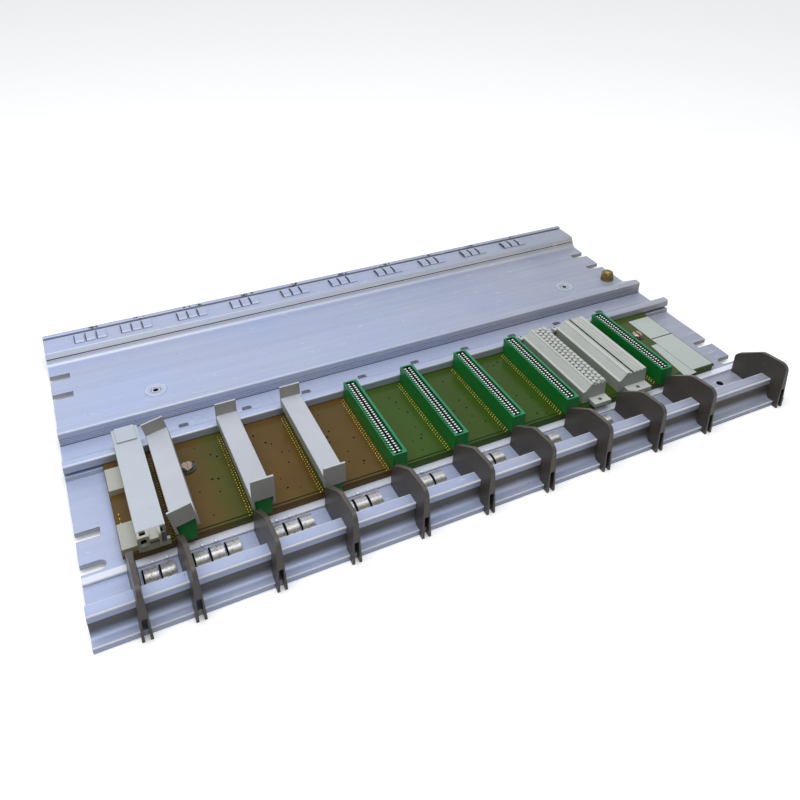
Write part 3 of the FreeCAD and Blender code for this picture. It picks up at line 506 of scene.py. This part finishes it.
def add_prism(mesh, loop, start, end):
    """Closed prism along X over a loop of (y, z) points."""
    rows = [[mesh.verts.new((x, y, z)) for y, z in loop] for x in (start, end)]
    for corner in range(len(loop)):
        after = (corner + 1) % len(loop)
        mesh.faces.new((rows[0][corner], rows[0][after], rows[1][after], rows[1][corner]))
    mesh.faces.new(list(reversed(rows[0])))
    mesh.faces.new(rows[1])


def profile_lines(name):
    """Painted highlight lines on the outer edges of an extrusion and painted shade lines in its inner
    corners.

    Each line is a thin prism laid over the edge. An edge gets one where the faces beside it turn
    enough, or where it borders a narrow face of a rounded corner of the near profile.
    """
    source = bmesh.new()
    source.from_mesh(frame["nodes"][name].data)
    bmesh.ops.remove_doubles(source, verts=source.verts, dist=WELD_REACH)
    bright, dark = bmesh.new(), bmesh.new()
    for edge in source.edges:
        first, second = edge.verts
        along = second.co - first.co
        sideways = math.hypot(along.y, along.z)
        if len(edge.link_faces) != 2 or abs(along.x) < EDGE_LENGTH or sideways > EDGE_LIFT:
            continue
        turn = edge.calc_face_angle_signed(0.0)
        outward = sum((face.normal for face in edge.link_faces), Vector())
        widths = [2 * face.calc_area() / abs(along.x) for face in edge.link_faces]
        rounded = name == "near_profile" and turn > ROUND_TURN and min(widths) < ROUND_WIDTH
        if outward.z < LOOKS_UP or not (rounded or abs(turn) > EDGE_TURN):
            continue
        if not rounded and min(widths) < CORNER_WIDTH:
            continue
        start, end = sorted((first.co.x, second.co.x))
        reach = min(EDGE_REACH if turn > 0 else CORNER_REACH, *widths)
        sides = []
        for face in edge.link_faces:
            inward = Vector((1, 0, 0)).cross(face.normal)
            if inward.dot(face.calc_center_median() - first.co) < 0:
                inward = -inward
            sides.append(first.co + inward * reach + face.normal * EDGE_LIFT)
        tip = first.co + outward.normalized() * (2 * EDGE_LIFT)
        points = [sides[0], tip, sides[1], first.co - outward.normalized() * EDGE_LIFT]
        if turn < 0:
            points = [sides[0], sides[1], first.co]
        loop = [(point.y, point.z) for point in points]
        add_prism(bright if turn > 0 else dark, loop, start + EDGE_LIFT, end - EDGE_LIFT)
    source.free()
    # The bright lines take a painted highlight, the dark ones a painted shade.
    for label, mesh, finish in (("bright", bright, PAINTED_HIGHLIGHT_LINE), ("dark", dark, LINE_DARK)):
        bmesh.ops.recalc_face_normals(mesh, faces=mesh.faces)
        new_piece("%s_%s_lines" % (name, label), mesh, "bare_aluminium", finish)


CONTACT_COUNT = 32
CONTACT_PITCH = 2.54 * MM
CAVITY_INSET = 1.7 * MM
CAVITY_WIDTH = 5.1 * MM
CAVITY_DEPTH = 6.0 * MM
CONTACT_SIZE = 1.65 * MM
CONTACT_LENGTH = 1.2 * MM
TOOTH_WIDTH = 1.3 * MM
TOOTH_LENGTH = 1.1 * MM
TOOTH_RISE = 0.04 * MM
CONTACT_SINK = 0.3 * MM
CONTACT_RISE = 0.5 * MM
CONTACT_BEVEL = 0.25 * MM
CAVITY_MARGIN = 0.05 * MM
TOOTH_SINK = 0.2 * MM
LEFT_CONTACT_INSET = 0.2 * MM
RIGHT_CONTACT_INSET = 3.25 * MM


def contact_rows(low, high):
    """Place along Y of each contact of a connector between two corners."""
    first = (low.y + high.y) / 2 - (CONTACT_COUNT - 1) / 2 * CONTACT_PITCH
    return [first + index * CONTACT_PITCH for index in range(CONTACT_COUNT)]


def connector_contacts(name):
    """Two rows of white contact supports over a black box of painted shade in the deep cavity, with dark
    teeth of painted shade beside them.
    """
    low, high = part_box(name)
    rows = contact_rows(low, high)
    contacts = bmesh.new()
    top = high.z - CONTACT_SINK
    for y in rows:
        for inset in (LEFT_CONTACT_INSET, RIGHT_CONTACT_INSET):
            left = low.x + CAVITY_INSET + inset
            add_box(
                contacts,
                Vector((left, y - CONTACT_LENGTH / 2, top - CONTACT_RISE)),
                Vector((left + CONTACT_SIZE, y + CONTACT_LENGTH / 2, top)), CONTACT_BEVEL)
    new_piece(name + "_contacts", contacts, "pale_green_plastic", CONTACT_WHITE)
    # Painted shade: a black box in the deep cavity and dark teeth beside it.
    cavity = bmesh.new()
    cavity_left = low.x + CAVITY_INSET
    cavity_right = cavity_left + CAVITY_WIDTH
    near, far = rows[0] - CONTACT_PITCH + CAVITY_MARGIN, rows[-1] + CONTACT_PITCH - CAVITY_MARGIN
    add_box(
        cavity,
        Vector((cavity_left + CAVITY_MARGIN, near, high.z - CAVITY_DEPTH)),
        Vector((cavity_right - CAVITY_MARGIN, far, top - CONTACT_RISE + CAVITY_MARGIN)))
    for y in rows:
        middle = y + CONTACT_PITCH / 2
        for left in (cavity_left - TOOTH_WIDTH, cavity_right):
            add_box(
                cavity,
                Vector((left, middle - TOOTH_LENGTH / 2, high.z - TOOTH_SINK)),
                Vector((left + TOOTH_WIDTH, middle + TOOTH_LENGTH / 2, high.z + TOOTH_RISE)))
    new_piece(name + "_cavity", cavity, "dark_plastic", SHADE_BLACK)


PIN_ROWS = (-3.1 * MM, -1.4 * MM)
PIN_RADIUS = 0.5 * MM
PIN_HEIGHT = 0.55 * MM
PIN_SPREAD = (0.8, 1.1)


def solder_pins(name):
    """Double row of solder joints on the board, left of a connector."""
    low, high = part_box(name)
    pins = bmesh.new()
    for row, offset in enumerate(PIN_ROWS):
        for y in contact_rows(low, high):
            centre = Vector((low.x + offset, y + row * CONTACT_PITCH / 2, BOARD_HIGH.z))
            radius = PIN_RADIUS * random.uniform(*PIN_SPREAD)
            add_dome(pins, centre, radius, PIN_HEIGHT, sides=7, rings=2)
    new_piece(name + "_pins", pins, "brass", SOLDER_GOLD)


VIAS_PER_BAY = 9
VIA_RADIUS = 0.7 * MM
VIA_SPREAD = (0.7, 1.2)
VIA_HEIGHT = 0.05 * MM
VIA_FROM_CONNECTOR = (8.0 * MM, 26.0 * MM)
VIA_ALONG = (BOARD_LOW.y + 4.0 * MM, BOARD_HIGH.y - 8.0 * MM)


def board_vias():
    """Small dark discs of painted shade for through-holes scattered over the bays between the card-edge
    connectors.
    """
    vias = bmesh.new()
    for name in (CAPPED_CONNECTORS + OPEN_CONNECTORS)[1:7]:
        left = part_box(name)[0].x
        for _ in range(VIAS_PER_BAY):
            x = left - random.uniform(*VIA_FROM_CONNECTOR)
            y = random.uniform(*VIA_ALONG)
            radius = VIA_RADIUS * random.uniform(*VIA_SPREAD)
            add_dome(vias, Vector((x, y, BOARD_HIGH.z)), radius, VIA_HEIGHT, sides=8, rings=2)
    new_piece("board_vias", vias, "dark_plastic", SHADE_BLACK)


BOARD_LINE_END = 1.0 * MM
BOARD_LINE_SETBACK = 1.6 * MM
BOARD_LINE_WIDTH = 1.0 * MM
BOARD_LINE_SINK = 0.1 * MM
BOARD_LINE_RISE = 0.03 * MM
SUPPORT_SETBACK = 0.4 * MM
SUPPORT_WIDTH = 1.8 * MM
SUPPORT_BEVEL = 0.2 * MM


def board_edge_line():
    """Dark green line along the near edge of the board, and the strip that carries that edge."""
    left, right = BOARD_LOW.x + BOARD_LINE_END, BOARD_HIGH.x - BOARD_LINE_END
    near = BOARD_LOW.y + BOARD_LINE_SETBACK
    line = bmesh.new()
    add_box(
        line,
        Vector((left, near, BOARD_HIGH.z - BOARD_LINE_SINK)),
        Vector((right, near + BOARD_LINE_WIDTH, BOARD_HIGH.z + BOARD_LINE_RISE)))
    new_piece("board_edge_line", line, "board_laminate", EDGE_LINE_GREEN)
    near = BOARD_LOW.y + SUPPORT_SETBACK
    support = bmesh.new()
    add_box(
        support,
        Vector((left, near, PLATE_TOP)),
        Vector((right, near + SUPPORT_WIDTH, BOARD_LOW.z)), SUPPORT_BEVEL)
    new_piece("board_support_strip", support, "board_laminate")


SPRING_THICKNESS = 0.5 * MM
CURL_STEPS = 14
CURL_CROWDING = 1.8
FALL_STEPS = 12
SPRING_FALL = 0.7
NEAR_SPRING = {"width": 7.5 * MM, "pitch": 9.2 * MM, "bend": 0.52, "crest": 0.76, "slit_width": 0.9 * MM}
FAR_SPRING = {"width": 6.4 * MM, "pitch": 8.2 * MM, "bend": 0.02, "crest": 0.45, "slit_width": 0.55 * MM}
SLIT_SINK = 0.25 * MM
SLIT_GAP = 0.1 * MM


def spring_curve(low, high, bend, crest):
    """Lower face of a spring: a flat foot up to bend, a quick curl up to crest, then a slow fall.

    Bend and crest are shares of the spring's length. Steps crowd where the curl is steepest.
    """
    length = high.y - low.y
    rise = high.z - low.z - SPRING_THICKNESS
    curl = crest - bend
    shares = [0.0] + [bend + curl * (step / CURL_STEPS) ** CURL_CROWDING for step in range(CURL_STEPS)]
    shares += [crest + (1 - crest) * step / FALL_STEPS for step in range(FALL_STEPS + 1)]
    points = []
    for share in shares:
        if share < bend:
            level = 0.0
        elif share < crest:
            level = math.sqrt(max(0.0, 1 - (1 - (share - bend) / curl) ** 2))
        else:
            level = 1 - SPRING_FALL * ((share - crest) / (1 - crest)) ** 2
        points.append((low.y + share * length, low.z + rise * level))
    return points


def springs(node, width, pitch, bend, crest, slit_width, finish=None, slit_finish=None):
    """Curved springs in place of the plain ones, each with a dark slit of painted shade at its left."""
    low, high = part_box(node)
    count = round((high.x - low.x - width) / pitch) + 1
    points = spring_curve(low, high, bend, crest)
    sunk = [(y, z - SLIT_SINK) for y, z in points[1:-1]]
    strips, slits = bmesh.new(), bmesh.new()
    for index in range(count):
        left = low.x + index * pitch
        slit_right = left - SLIT_GAP
        add_strip(strips, left, left + width, points, SPRING_THICKNESS)
        add_strip(slits, slit_right - slit_width, slit_right, sunk, SPRING_THICKNESS)
    piece = new_piece(node + "_curved", strips, "spring_steel", finish)
    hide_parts(node)
    # The slits take a painted shade.
    new_piece(node + "_slits", slits, "dark_plastic", slit_finish or SHADE_BLACK)


ABOVE_ALL = 1.0


def surface_below(name, x, y):
    """Highest place of a construction node at a point in plan."""
    node = frame["nodes"][name]
    _hit, place, _normal, _face = node.ray_cast(Vector((x, y, ABOVE_ALL)), Vector((0, 0, -1)))
    return place


SMUDGES_PER_GROUP = 9
SMUDGE_BAND = (2.6 * MM, 5.2 * MM)
SMUDGE_SHIFT = 2.0 * MM
SMUDGE_SPREAD = 3.5 * MM
SMUDGE_RADIUS = 1.1 * MM
SMUDGE_SIZES = (0.5, 1.2)
SMUDGE_HEIGHT = 0.12 * MM


def lip_smudges(node):
    """Dark smudges on the rail beside the lip, behind a group of far springs."""
    low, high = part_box(node)
    smudges = bmesh.new()
    for _ in range(SMUDGES_PER_GROUP):
        x = random.gauss((low.x + high.x) / 2 + SMUDGE_SHIFT, SMUDGE_SPREAD)
        y = high.y + random.uniform(*SMUDGE_BAND)
        place = surface_below("far_profile", x, y)
        radius = SMUDGE_RADIUS * random.uniform(*SMUDGE_SIZES)
        add_dome(smudges, place, radius, SMUDGE_HEIGHT, sides=9, rings=2)
    new_piece(node + "_smudges", smudges, "bare_aluminium", LINE_DARK)


PIP_OFFSETS = (14 * MM, 22 * MM)
PIP_RADIUS = 1.3 * MM
PIP_HEIGHT = 0.8 * MM
PIP_SINK = 0.1 * MM
PIP_Y = BOARD_LOW.y - 4.4 * MM


def strip_pips():
    """Pressed pips on the near edge of the strip, two in each bay."""
    pips = bmesh.new()
    for name in GUIDES[:-1]:
        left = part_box(name)[0].x
        for offset in PIP_OFFSETS:
            place = Vector((left + offset, PIP_Y, PLATE_TOP - PIP_SINK))
            add_dome(pips, place, PIP_RADIUS, PIP_HEIGHT, sides=12, rings=4)
    new_piece("strip_pips", pips, "bare_aluminium", smooth=True)


MULTI_STEP = 6.5 * MM
CELL_PITCH = (3.7 * MM, 4.3 * MM)
CELL_SHIFT = 0.7 * MM
CELL_SIZE = (3.3 * MM, 2.9 * MM)
CELL_SINK = 0.5 * MM
CELL_RISE = 0.75 * MM
CELL_BEVEL = 0.35 * MM
MULTI_EAR = 8.0 * MM


def multi_row_cells():
    """Three staggered rows of raised cells on the core of the first multi-row connector."""
    low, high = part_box(MULTI_ROWS[0])
    core_left = low.x + MULTI_STEP
    middle = (core_left + high.x) / 2
    cells = bmesh.new()
    for row in range(3):
        x = middle + (row - 1) * CELL_PITCH[0] + CELL_SHIFT
        shift = (row % 2) * CELL_PITCH[1] / 2
        y = low.y + MULTI_EAR + CELL_PITCH[1] / 2 + shift
        while y < high.y - CELL_PITCH[1] / 2:
            add_box(
                cells,
                Vector((x - CELL_SIZE[0] / 2, y - CELL_SIZE[1] / 2, high.z - CELL_SINK)),
                Vector((x + CELL_SIZE[0] / 2, y + CELL_SIZE[1] / 2, high.z + CELL_RISE)), CELL_BEVEL)
            y += CELL_PITCH[1]
    new_piece("multi_row_cells", cells, "pale_green_plastic")


MULTI_SLIT_FROM_STEP = 5.0 * MM
MULTI_SLIT_WIDTH = 0.8 * MM
MULTI_SLIT_SINK = 1.3 * MM
MULTI_SLIT_RISE = 0.04 * MM
MULTI_SLIT_END = 0.02 * MM


def multi_row_slit():
    """Dark slit of painted shade along the core of the second multi-row connector."""
    low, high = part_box(MULTI_ROWS[1])
    x = low.x + MULTI_STEP + MULTI_SLIT_FROM_STEP
    slit = bmesh.new()
    add_box(
        slit,
        Vector((x, low.y + MULTI_EAR + MULTI_SLIT_END, high.z - MULTI_SLIT_SINK)),
        Vector((x + MULTI_SLIT_WIDTH, high.y, high.z + MULTI_SLIT_RISE)))
    new_piece("multi_row_slit", slit, "dark_plastic", SHADE_BLACK)


# Distance from the hole's centre and height of each ring of the dish, in millimetres
DISH_RINGS = ((3.2, 0.02), (5.2, 0.10), (6.6, 0.30), (7.2, 0.42), (7.6, 0.30), (7.9, 0.02))
DISH_SIDES = 48
HOLE_SHADE_RADIUS = 2.6 * MM
HOLE_SHADE_DEPTH = 0.6 * MM
SHADE_HEIGHT = 0.1 * MM


def add_shade(mesh, x, y, top, radius):
    """Low dark dome of painted shade inside a hole, below the surface around it."""
    add_dome(mesh, Vector((x, y, top)), radius, SHADE_HEIGHT, sides=16, rings=2)


def panel_dishes():
    """Shallow pressed dish with a raised rim around each hole of the panel, and painted shade in the hole.
    """
    dishes, shades = bmesh.new(), bmesh.new()
    for x, y in PANEL_HOLES:
        top = surface_below("far_profile", x + DISH_RINGS[1][0] * MM, y).z
        loops = []
        for reach, rise in DISH_RINGS:
            loops.append([
                dishes.verts.new((
                    x + reach * MM * math.cos(2 * math.pi * side / DISH_SIDES),
                    y + reach * MM * math.sin(2 * math.pi * side / DISH_SIDES), top + rise * MM))
                for side in range(DISH_SIDES)])
        for inner, outer in zip(loops, loops[1:] + loops[:1]):
            for side in range(DISH_SIDES):
                after = (side + 1) % DISH_SIDES
                dishes.faces.new((inner[side], outer[side], outer[after], inner[after]))
        add_shade(shades, x, y, top - HOLE_SHADE_DEPTH, HOLE_SHADE_RADIUS)
    bmesh.ops.recalc_face_normals(dishes, faces=dishes.faces)
    new_piece("panel_dishes", dishes, "bare_aluminium", smooth=True)
    new_piece("panel_hole_shades", shades, "dark_plastic", SHADE_BLACK)


MULTI_BODY_HEIGHT = 9.5 * MM
MULTI_SHELF = 2.0 * MM


def long_multi_row(name):
    """Multi-row connector whose body reaches over its far ear, and whose left step is sloped."""
    low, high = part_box(name)
    end = high.y - MULTI_EAR
    mesh = bmesh.new()
    mesh.from_mesh(frame["nodes"][name].data)
    for vertex in mesh.verts:
        if abs(vertex.co.y - end) < SAME_PLACE:
            vertex.co.y = high.y + SAME_PLACE
        at_step = abs(vertex.co.x - low.x - MULTI_STEP) < SAME_PLACE
        if at_step and abs(vertex.co.z - low.z - MULTI_BODY_HEIGHT) < SAME_PLACE:
            vertex.co.x = low.x + MULTI_SHELF
    piece = new_piece(name + "_long", mesh, "pale_green_plastic")
    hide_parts(name)


CHANNEL_HOLE = (210.1 * MM, -114.0 * MM)
CHANNEL_SHADE_RADIUS = 3.4 * MM
CHANNEL_SHADE_DEPTH = 0.7 * MM


def channel_hole_shade():
    """Painted shade inside the round hole of the channel floor."""
    x, y = CHANNEL_HOLE
    top = surface_below("near_profile", x - 2 * CHANNEL_SHADE_RADIUS, y).z
    shade = bmesh.new()
    add_shade(shade, x, y, top - CHANNEL_SHADE_DEPTH, CHANNEL_SHADE_RADIUS)
    new_piece("channel_hole_shade", shade, "dark_plastic", SHADE_BLACK)


STUD_SHAFT_SHARE = 0.65
STUD_SHAFT_BEVEL = 0.5 * MM
STUD_TOP_SHARE = 0.36
STUD_TOP_HEIGHT = 2.4 * MM
STUD_TOP_SINK = 0.1 * MM


def domed_stud():
    """Ground stud with a low domed end over its nut."""
    low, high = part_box("ground_stud")
    nut_low, nut_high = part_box("ground_nut")
    centre = (low + high) / 2
    stud = bmesh.new()
    half = (high.x - low.x) / 2 * STUD_SHAFT_SHARE
    add_box(
        stud,
        Vector((centre.x - half, centre.y - half, low.z)),
        Vector((centre.x + half, centre.y + half, nut_high.z)), STUD_SHAFT_BEVEL)
    base = Vector((centre.x, centre.y, nut_high.z - STUD_TOP_SINK))
    radius = (nut_high.x - nut_low.x) * STUD_TOP_SHARE
    add_dome(stud, base, radius, STUD_TOP_HEIGHT, sides=20, rings=6)
    piece = new_piece("ground_stud_domed", stud, "brass")
    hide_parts("ground_stud")


COVER_EDGE_CLEARANCE = 0.3 * MM
# Opposite corners from the cover's low corner, in millimetres
COVER_BAR = ((8.0, 1.2, 1.5), (24.0, 3.6, 6.0))
COVER_TAB = ((19.4, 0.7, 5.5), (22.0, 1.7, 12.5))
COVER_BLOCK_BEVEL = 0.3 * MM
COVER_DOTS = 5
COVER_DOT_PITCH = 4.0 * MM
COVER_DOT_START = 23.0 * MM
COVER_DOT_INSET = 2.6 * MM


def dressed_cover():
    """Cover whose clips reach the board's edge, a bar and a tab behind its arches, and the row of
    solder dots beside it."""
    edge = BOARD_LOW.x + COVER_EDGE_CLEARANCE
    mesh = bmesh.new()
    mesh.from_mesh(frame["nodes"]["slot_cover"].data)
    for vertex in mesh.verts:
        if vertex.co.x - COVER_LOW.x < SAME_PLACE:
            vertex.co.x = edge
    piece = new_piece("slot_cover_wide", mesh, "cream_plastic")
    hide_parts("slot_cover")
    for label, corners, finish in (("bar", COVER_BAR, None), ("tab", COVER_TAB, TAB_GREY)):
        block = bmesh.new()
        low, high = (COVER_LOW + Vector(corner) * MM for corner in corners)
        add_box(block, low, high, COVER_BLOCK_BEVEL)
        new_piece("slot_cover_" + label, block, "cream_plastic", finish)
    dots = bmesh.new()
    for index in range(COVER_DOTS):
        y = COVER_LOW.y + COVER_DOT_START + index * COVER_DOT_PITCH
        place = Vector((edge + COVER_DOT_INSET, y, COVER_LOW.z))
        add_dome(dots, place, PIN_RADIUS, PIN_HEIGHT, sides=8, rings=2)
    new_piece("slot_cover_dots", dots, "brass", SOLDER_GOLD)


FAR_LUG_SIZE = Vector((4.2, 5.0, 2.2)) * MM
FAR_LUG_OVERLAP = (1.8 * MM, 1.0 * MM)
FAR_LUG_CLEARANCE = 0.1 * MM
FAR_LUG_BEVEL = 0.3 * MM
FAR_LUG_HOLE_RADIUS = 0.8 * MM
FAR_LUG_HOLE_HEIGHT = 0.05 * MM
FAR_LUG_HOLE_SHIFT = 1.0 * MM
LEDGE_FROM_CONNECTOR = 3.0 * MM


def far_lugs():
    """Small lugs at the far left corners of the multi-row connectors, over the ledge, each with a dark disc
    of painted shade for its hole.
    """
    lugs, holes = bmesh.new(), bmesh.new()
    for name in MULTI_ROWS:
        low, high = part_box(name)
        ledge = surface_below("far_profile", low.x, high.y + LEDGE_FROM_CONNECTOR).z
        corner = Vector((
            low.x - FAR_LUG_SIZE.x + FAR_LUG_OVERLAP[0], high.y - FAR_LUG_OVERLAP[1],
            ledge + FAR_LUG_CLEARANCE))
        add_box(lugs, corner, corner + FAR_LUG_SIZE, FAR_LUG_BEVEL)
        place = corner + Vector((
            FAR_LUG_SIZE.x / 2, FAR_LUG_SIZE.y / 2 + FAR_LUG_HOLE_SHIFT, FAR_LUG_SIZE.z))
        add_dome(holes, place, FAR_LUG_HOLE_RADIUS, FAR_LUG_HOLE_HEIGHT, sides=10, rings=2)
    new_piece("multi_row_lugs", lugs, "pale_green_plastic")
    new_piece("multi_row_lug_holes", holes, "dark_plastic", SHADE_BLACK)


# Corners of the sticker in plan, in millimetres
STICKER_CORNERS = ((187.9, -59.6), (193.9, -59.4), (195.6, -103.0), (184.0, -104.2))
STICKER_RISE = 0.15 * MM


def board_sticker():
    """Narrow bare sticker on the board beside the last connector."""
    top = BOARD_HIGH.z
    sheet = bmesh.new()
    upper = [sheet.verts.new((x * MM, y * MM, top + STICKER_RISE)) for x, y in STICKER_CORNERS]
    lower = [sheet.verts.new((x * MM, y * MM, top)) for x, y in STICKER_CORNERS]
    sheet.faces.new(upper)
    sheet.faces.new(list(reversed(lower)))
    for index in range(4):
        after = (index + 1) % 4
        sheet.faces.new((upper[after], upper[index], lower[index], lower[after]))
    bmesh.ops.recalc_face_normals(sheet, faces=sheet.faces)
    new_piece("board_sticker", sheet, "white_film")


CAMERA_PLACE = Vector((-0.2206, -0.4770, 0.3753))
CAMERA_TURN = math.radians(27.538)
CAMERA_TILT = math.radians(26.776)
CAMERA_ROLL = math.radians(1.123)
FOCAL_PIXELS = 834.1
PHOTO_PIXELS = 800
CENTRE_PIXEL = (440, 250)
SENSOR = 36.0
CLIP_RANGE = (0.01, 20.0)


def make_camera():
    """Camera at the photograph's place and framing."""
    data = bpy.data.cameras.new("camera")
    data.sensor_width = SENSOR
    data.lens = FOCAL_PIXELS / PHOTO_PIXELS * SENSOR
    data.shift_x = (PHOTO_PIXELS / 2 - CENTRE_PIXEL[0]) / PHOTO_PIXELS
    data.shift_y = (CENTRE_PIXEL[1] - PHOTO_PIXELS / 2) / PHOTO_PIXELS
    data.clip_start, data.clip_end = CLIP_RANGE
    camera = bpy.data.objects.new("camera", data)
    bpy.context.collection.objects.link(camera)
    forward = Vector((
        math.sin(CAMERA_TURN) * math.cos(CAMERA_TILT),
        math.cos(CAMERA_TURN) * math.cos(CAMERA_TILT),
        -math.sin(CAMERA_TILT),
    ))
    right = forward.cross(Vector((0, 0, 1))).normalized()
    up = right.cross(forward)
    rolled_right = right * math.cos(CAMERA_ROLL) + up * math.sin(CAMERA_ROLL)
    rolled_up = up * math.cos(CAMERA_ROLL) - right * math.sin(CAMERA_ROLL)
    turn = Matrix((rolled_right, rolled_up, -forward)).transposed()
    camera.matrix_world = Matrix.Translation(CAMERA_PLACE) @ turn.to_4x4()
    bpy.context.scene.camera = camera


KEY_PLACE = Vector((-0.2, -0.25, 1.15))
KEY_SIZE = (1.3, 0.8)
KEY_POWER = 8.5
KEY_COLOUR = (0.98, 0.99, 1.0)


def make_key_light():
    """Large soft lamp above and before the part, turned to its middle."""
    data = bpy.data.lights.new("key", "AREA")
    data.shape = "RECTANGLE"
    data.size, data.size_y = KEY_SIZE
    data.energy = KEY_POWER
    data.color = KEY_COLOUR
    lamp = bpy.data.objects.new("key", data)
    bpy.context.collection.objects.link(lamp)
    lamp.location = KEY_PLACE
    lamp.rotation_euler = (-KEY_PLACE).to_track_quat("-Z", "Y").to_euler()


def seen_directly(tree):
    """One for camera, glossy and transmission rays, nought for the light that surfaces scatter."""
    path = tree.nodes.new("ShaderNodeLightPath")
    total = path.outputs["Is Camera Ray"]
    for ray in ("Is Glossy Ray", "Is Transmission Ray"):
        both = tree.nodes.new("ShaderNodeMath")
        both.operation = "MAXIMUM"
        tree.links.new(total, both.inputs[0])
        tree.links.new(path.outputs[ray], both.inputs[1])
        total = both.outputs["Value"]
    return total


FLOOR_SIZE = 4.0
FLOOR_DROP = 0.2 * MM
FLOOR_GLOW = 0.24
FLOOR_SHADE = (0.30, 0.30, 0.29)


def make_floor():
    """Pale floor that shows nearly white, throws little light back and keeps the soft shadow."""
    mesh = bmesh.new()
    bmesh.ops.create_grid(mesh, x_segments=1, y_segments=1, size=FLOOR_SIZE)
    data = bpy.data.meshes.new("floor")
    mesh.to_mesh(data)
    mesh.free()
    floor = bpy.data.objects.new("floor", data)
    floor.location.z = PART_FOOT - FLOOR_DROP
    bpy.context.collection.objects.link(floor)
    s = Shader("floor")
    shown = s.ramp(s.noise(3.0), [(0.3, 0.955), (0.7, 0.965)])
    directly = seen_directly(s.tree)
    colour = s.mix(directly, FLOOR_SHADE, shown)
    s.surface.inputs["Emission Color"].default_value = (1, 1, 1, 1)
    s.feed(s.surface.inputs["Emission Strength"], s.maths("MULTIPLY", directly, FLOOR_GLOW))
    data.materials.append(s.finish(colour, 0.8, specular=0.1))


SKY_DIRECTION = Vector((0.0, 0.6, 0.8))
SKY_COLOUR = (0.97, 0.98, 1.0, 1)
SKY_RANGE = {"From Min": -0.35, "From Max": 0.85, "To Min": 0.16, "To Max": 0.75}


def make_world():
    """Soft studio sky: bright above and behind the part, dim before it, white where it is seen."""
    world = bpy.data.worlds.new("studio")
    bpy.context.scene.world = world
    world.use_nodes = True
    tree = world.node_tree
    background = tree.nodes["Background"]
    place = tree.nodes.new("ShaderNodeTexCoord")
    dot = tree.nodes.new("ShaderNodeVectorMath")
    dot.operation = "DOT_PRODUCT"
    tree.links.new(place.outputs["Generated"], dot.inputs[0])
    dot.inputs[1].default_value = SKY_DIRECTION
    ramp = tree.nodes.new("ShaderNodeMapRange")
    tree.links.new(dot.outputs["Value"], ramp.inputs["Value"])
    for socket, value in SKY_RANGE.items():
        ramp.inputs[socket].default_value = value
    mix = tree.nodes.new("ShaderNodeMix")
    tree.links.new(seen_directly(tree), mix.inputs["Factor"])
    tree.links.new(ramp.outputs["Result"], mix.inputs["A"])
    mix.inputs["B"].default_value = 1.0
    tree.links.new(mix.outputs["Result"], background.inputs["Strength"])
    background.inputs["Color"].default_value = SKY_COLOUR


def make_stage():
    make_camera()
    make_floor()
    make_world()
    make_key_light()
    bpy.context.scene.view_settings.view_transform = "Standard"


def main():
    dress_frame()
    for name in OPEN_CONNECTORS:
        connector_contacts(name)
    for name in CAPPED_CONNECTORS + OPEN_CONNECTORS:
        solder_pins(name)
    for name in NEAR_SPRINGS:
        springs(name, **NEAR_SPRING)
    for name in FAR_SPRINGS:
        springs(name, **FAR_SPRING, finish=MATERIALS["bare_aluminium"], slit_finish=LINE_DARK)
        lip_smudges(name)
    for name in ("near_profile", "far_profile"):
        profile_lines(name)
    board_vias()
    board_edge_line()
    board_sticker()
    panel_dishes()
    channel_hole_shade()
    domed_stud()
    dressed_cover()
    far_lugs()
    for name in MULTI_ROWS:
        long_multi_row(name)
    strip_pips()
    multi_row_cells()
    multi_row_slit()
    make_stage()


main()
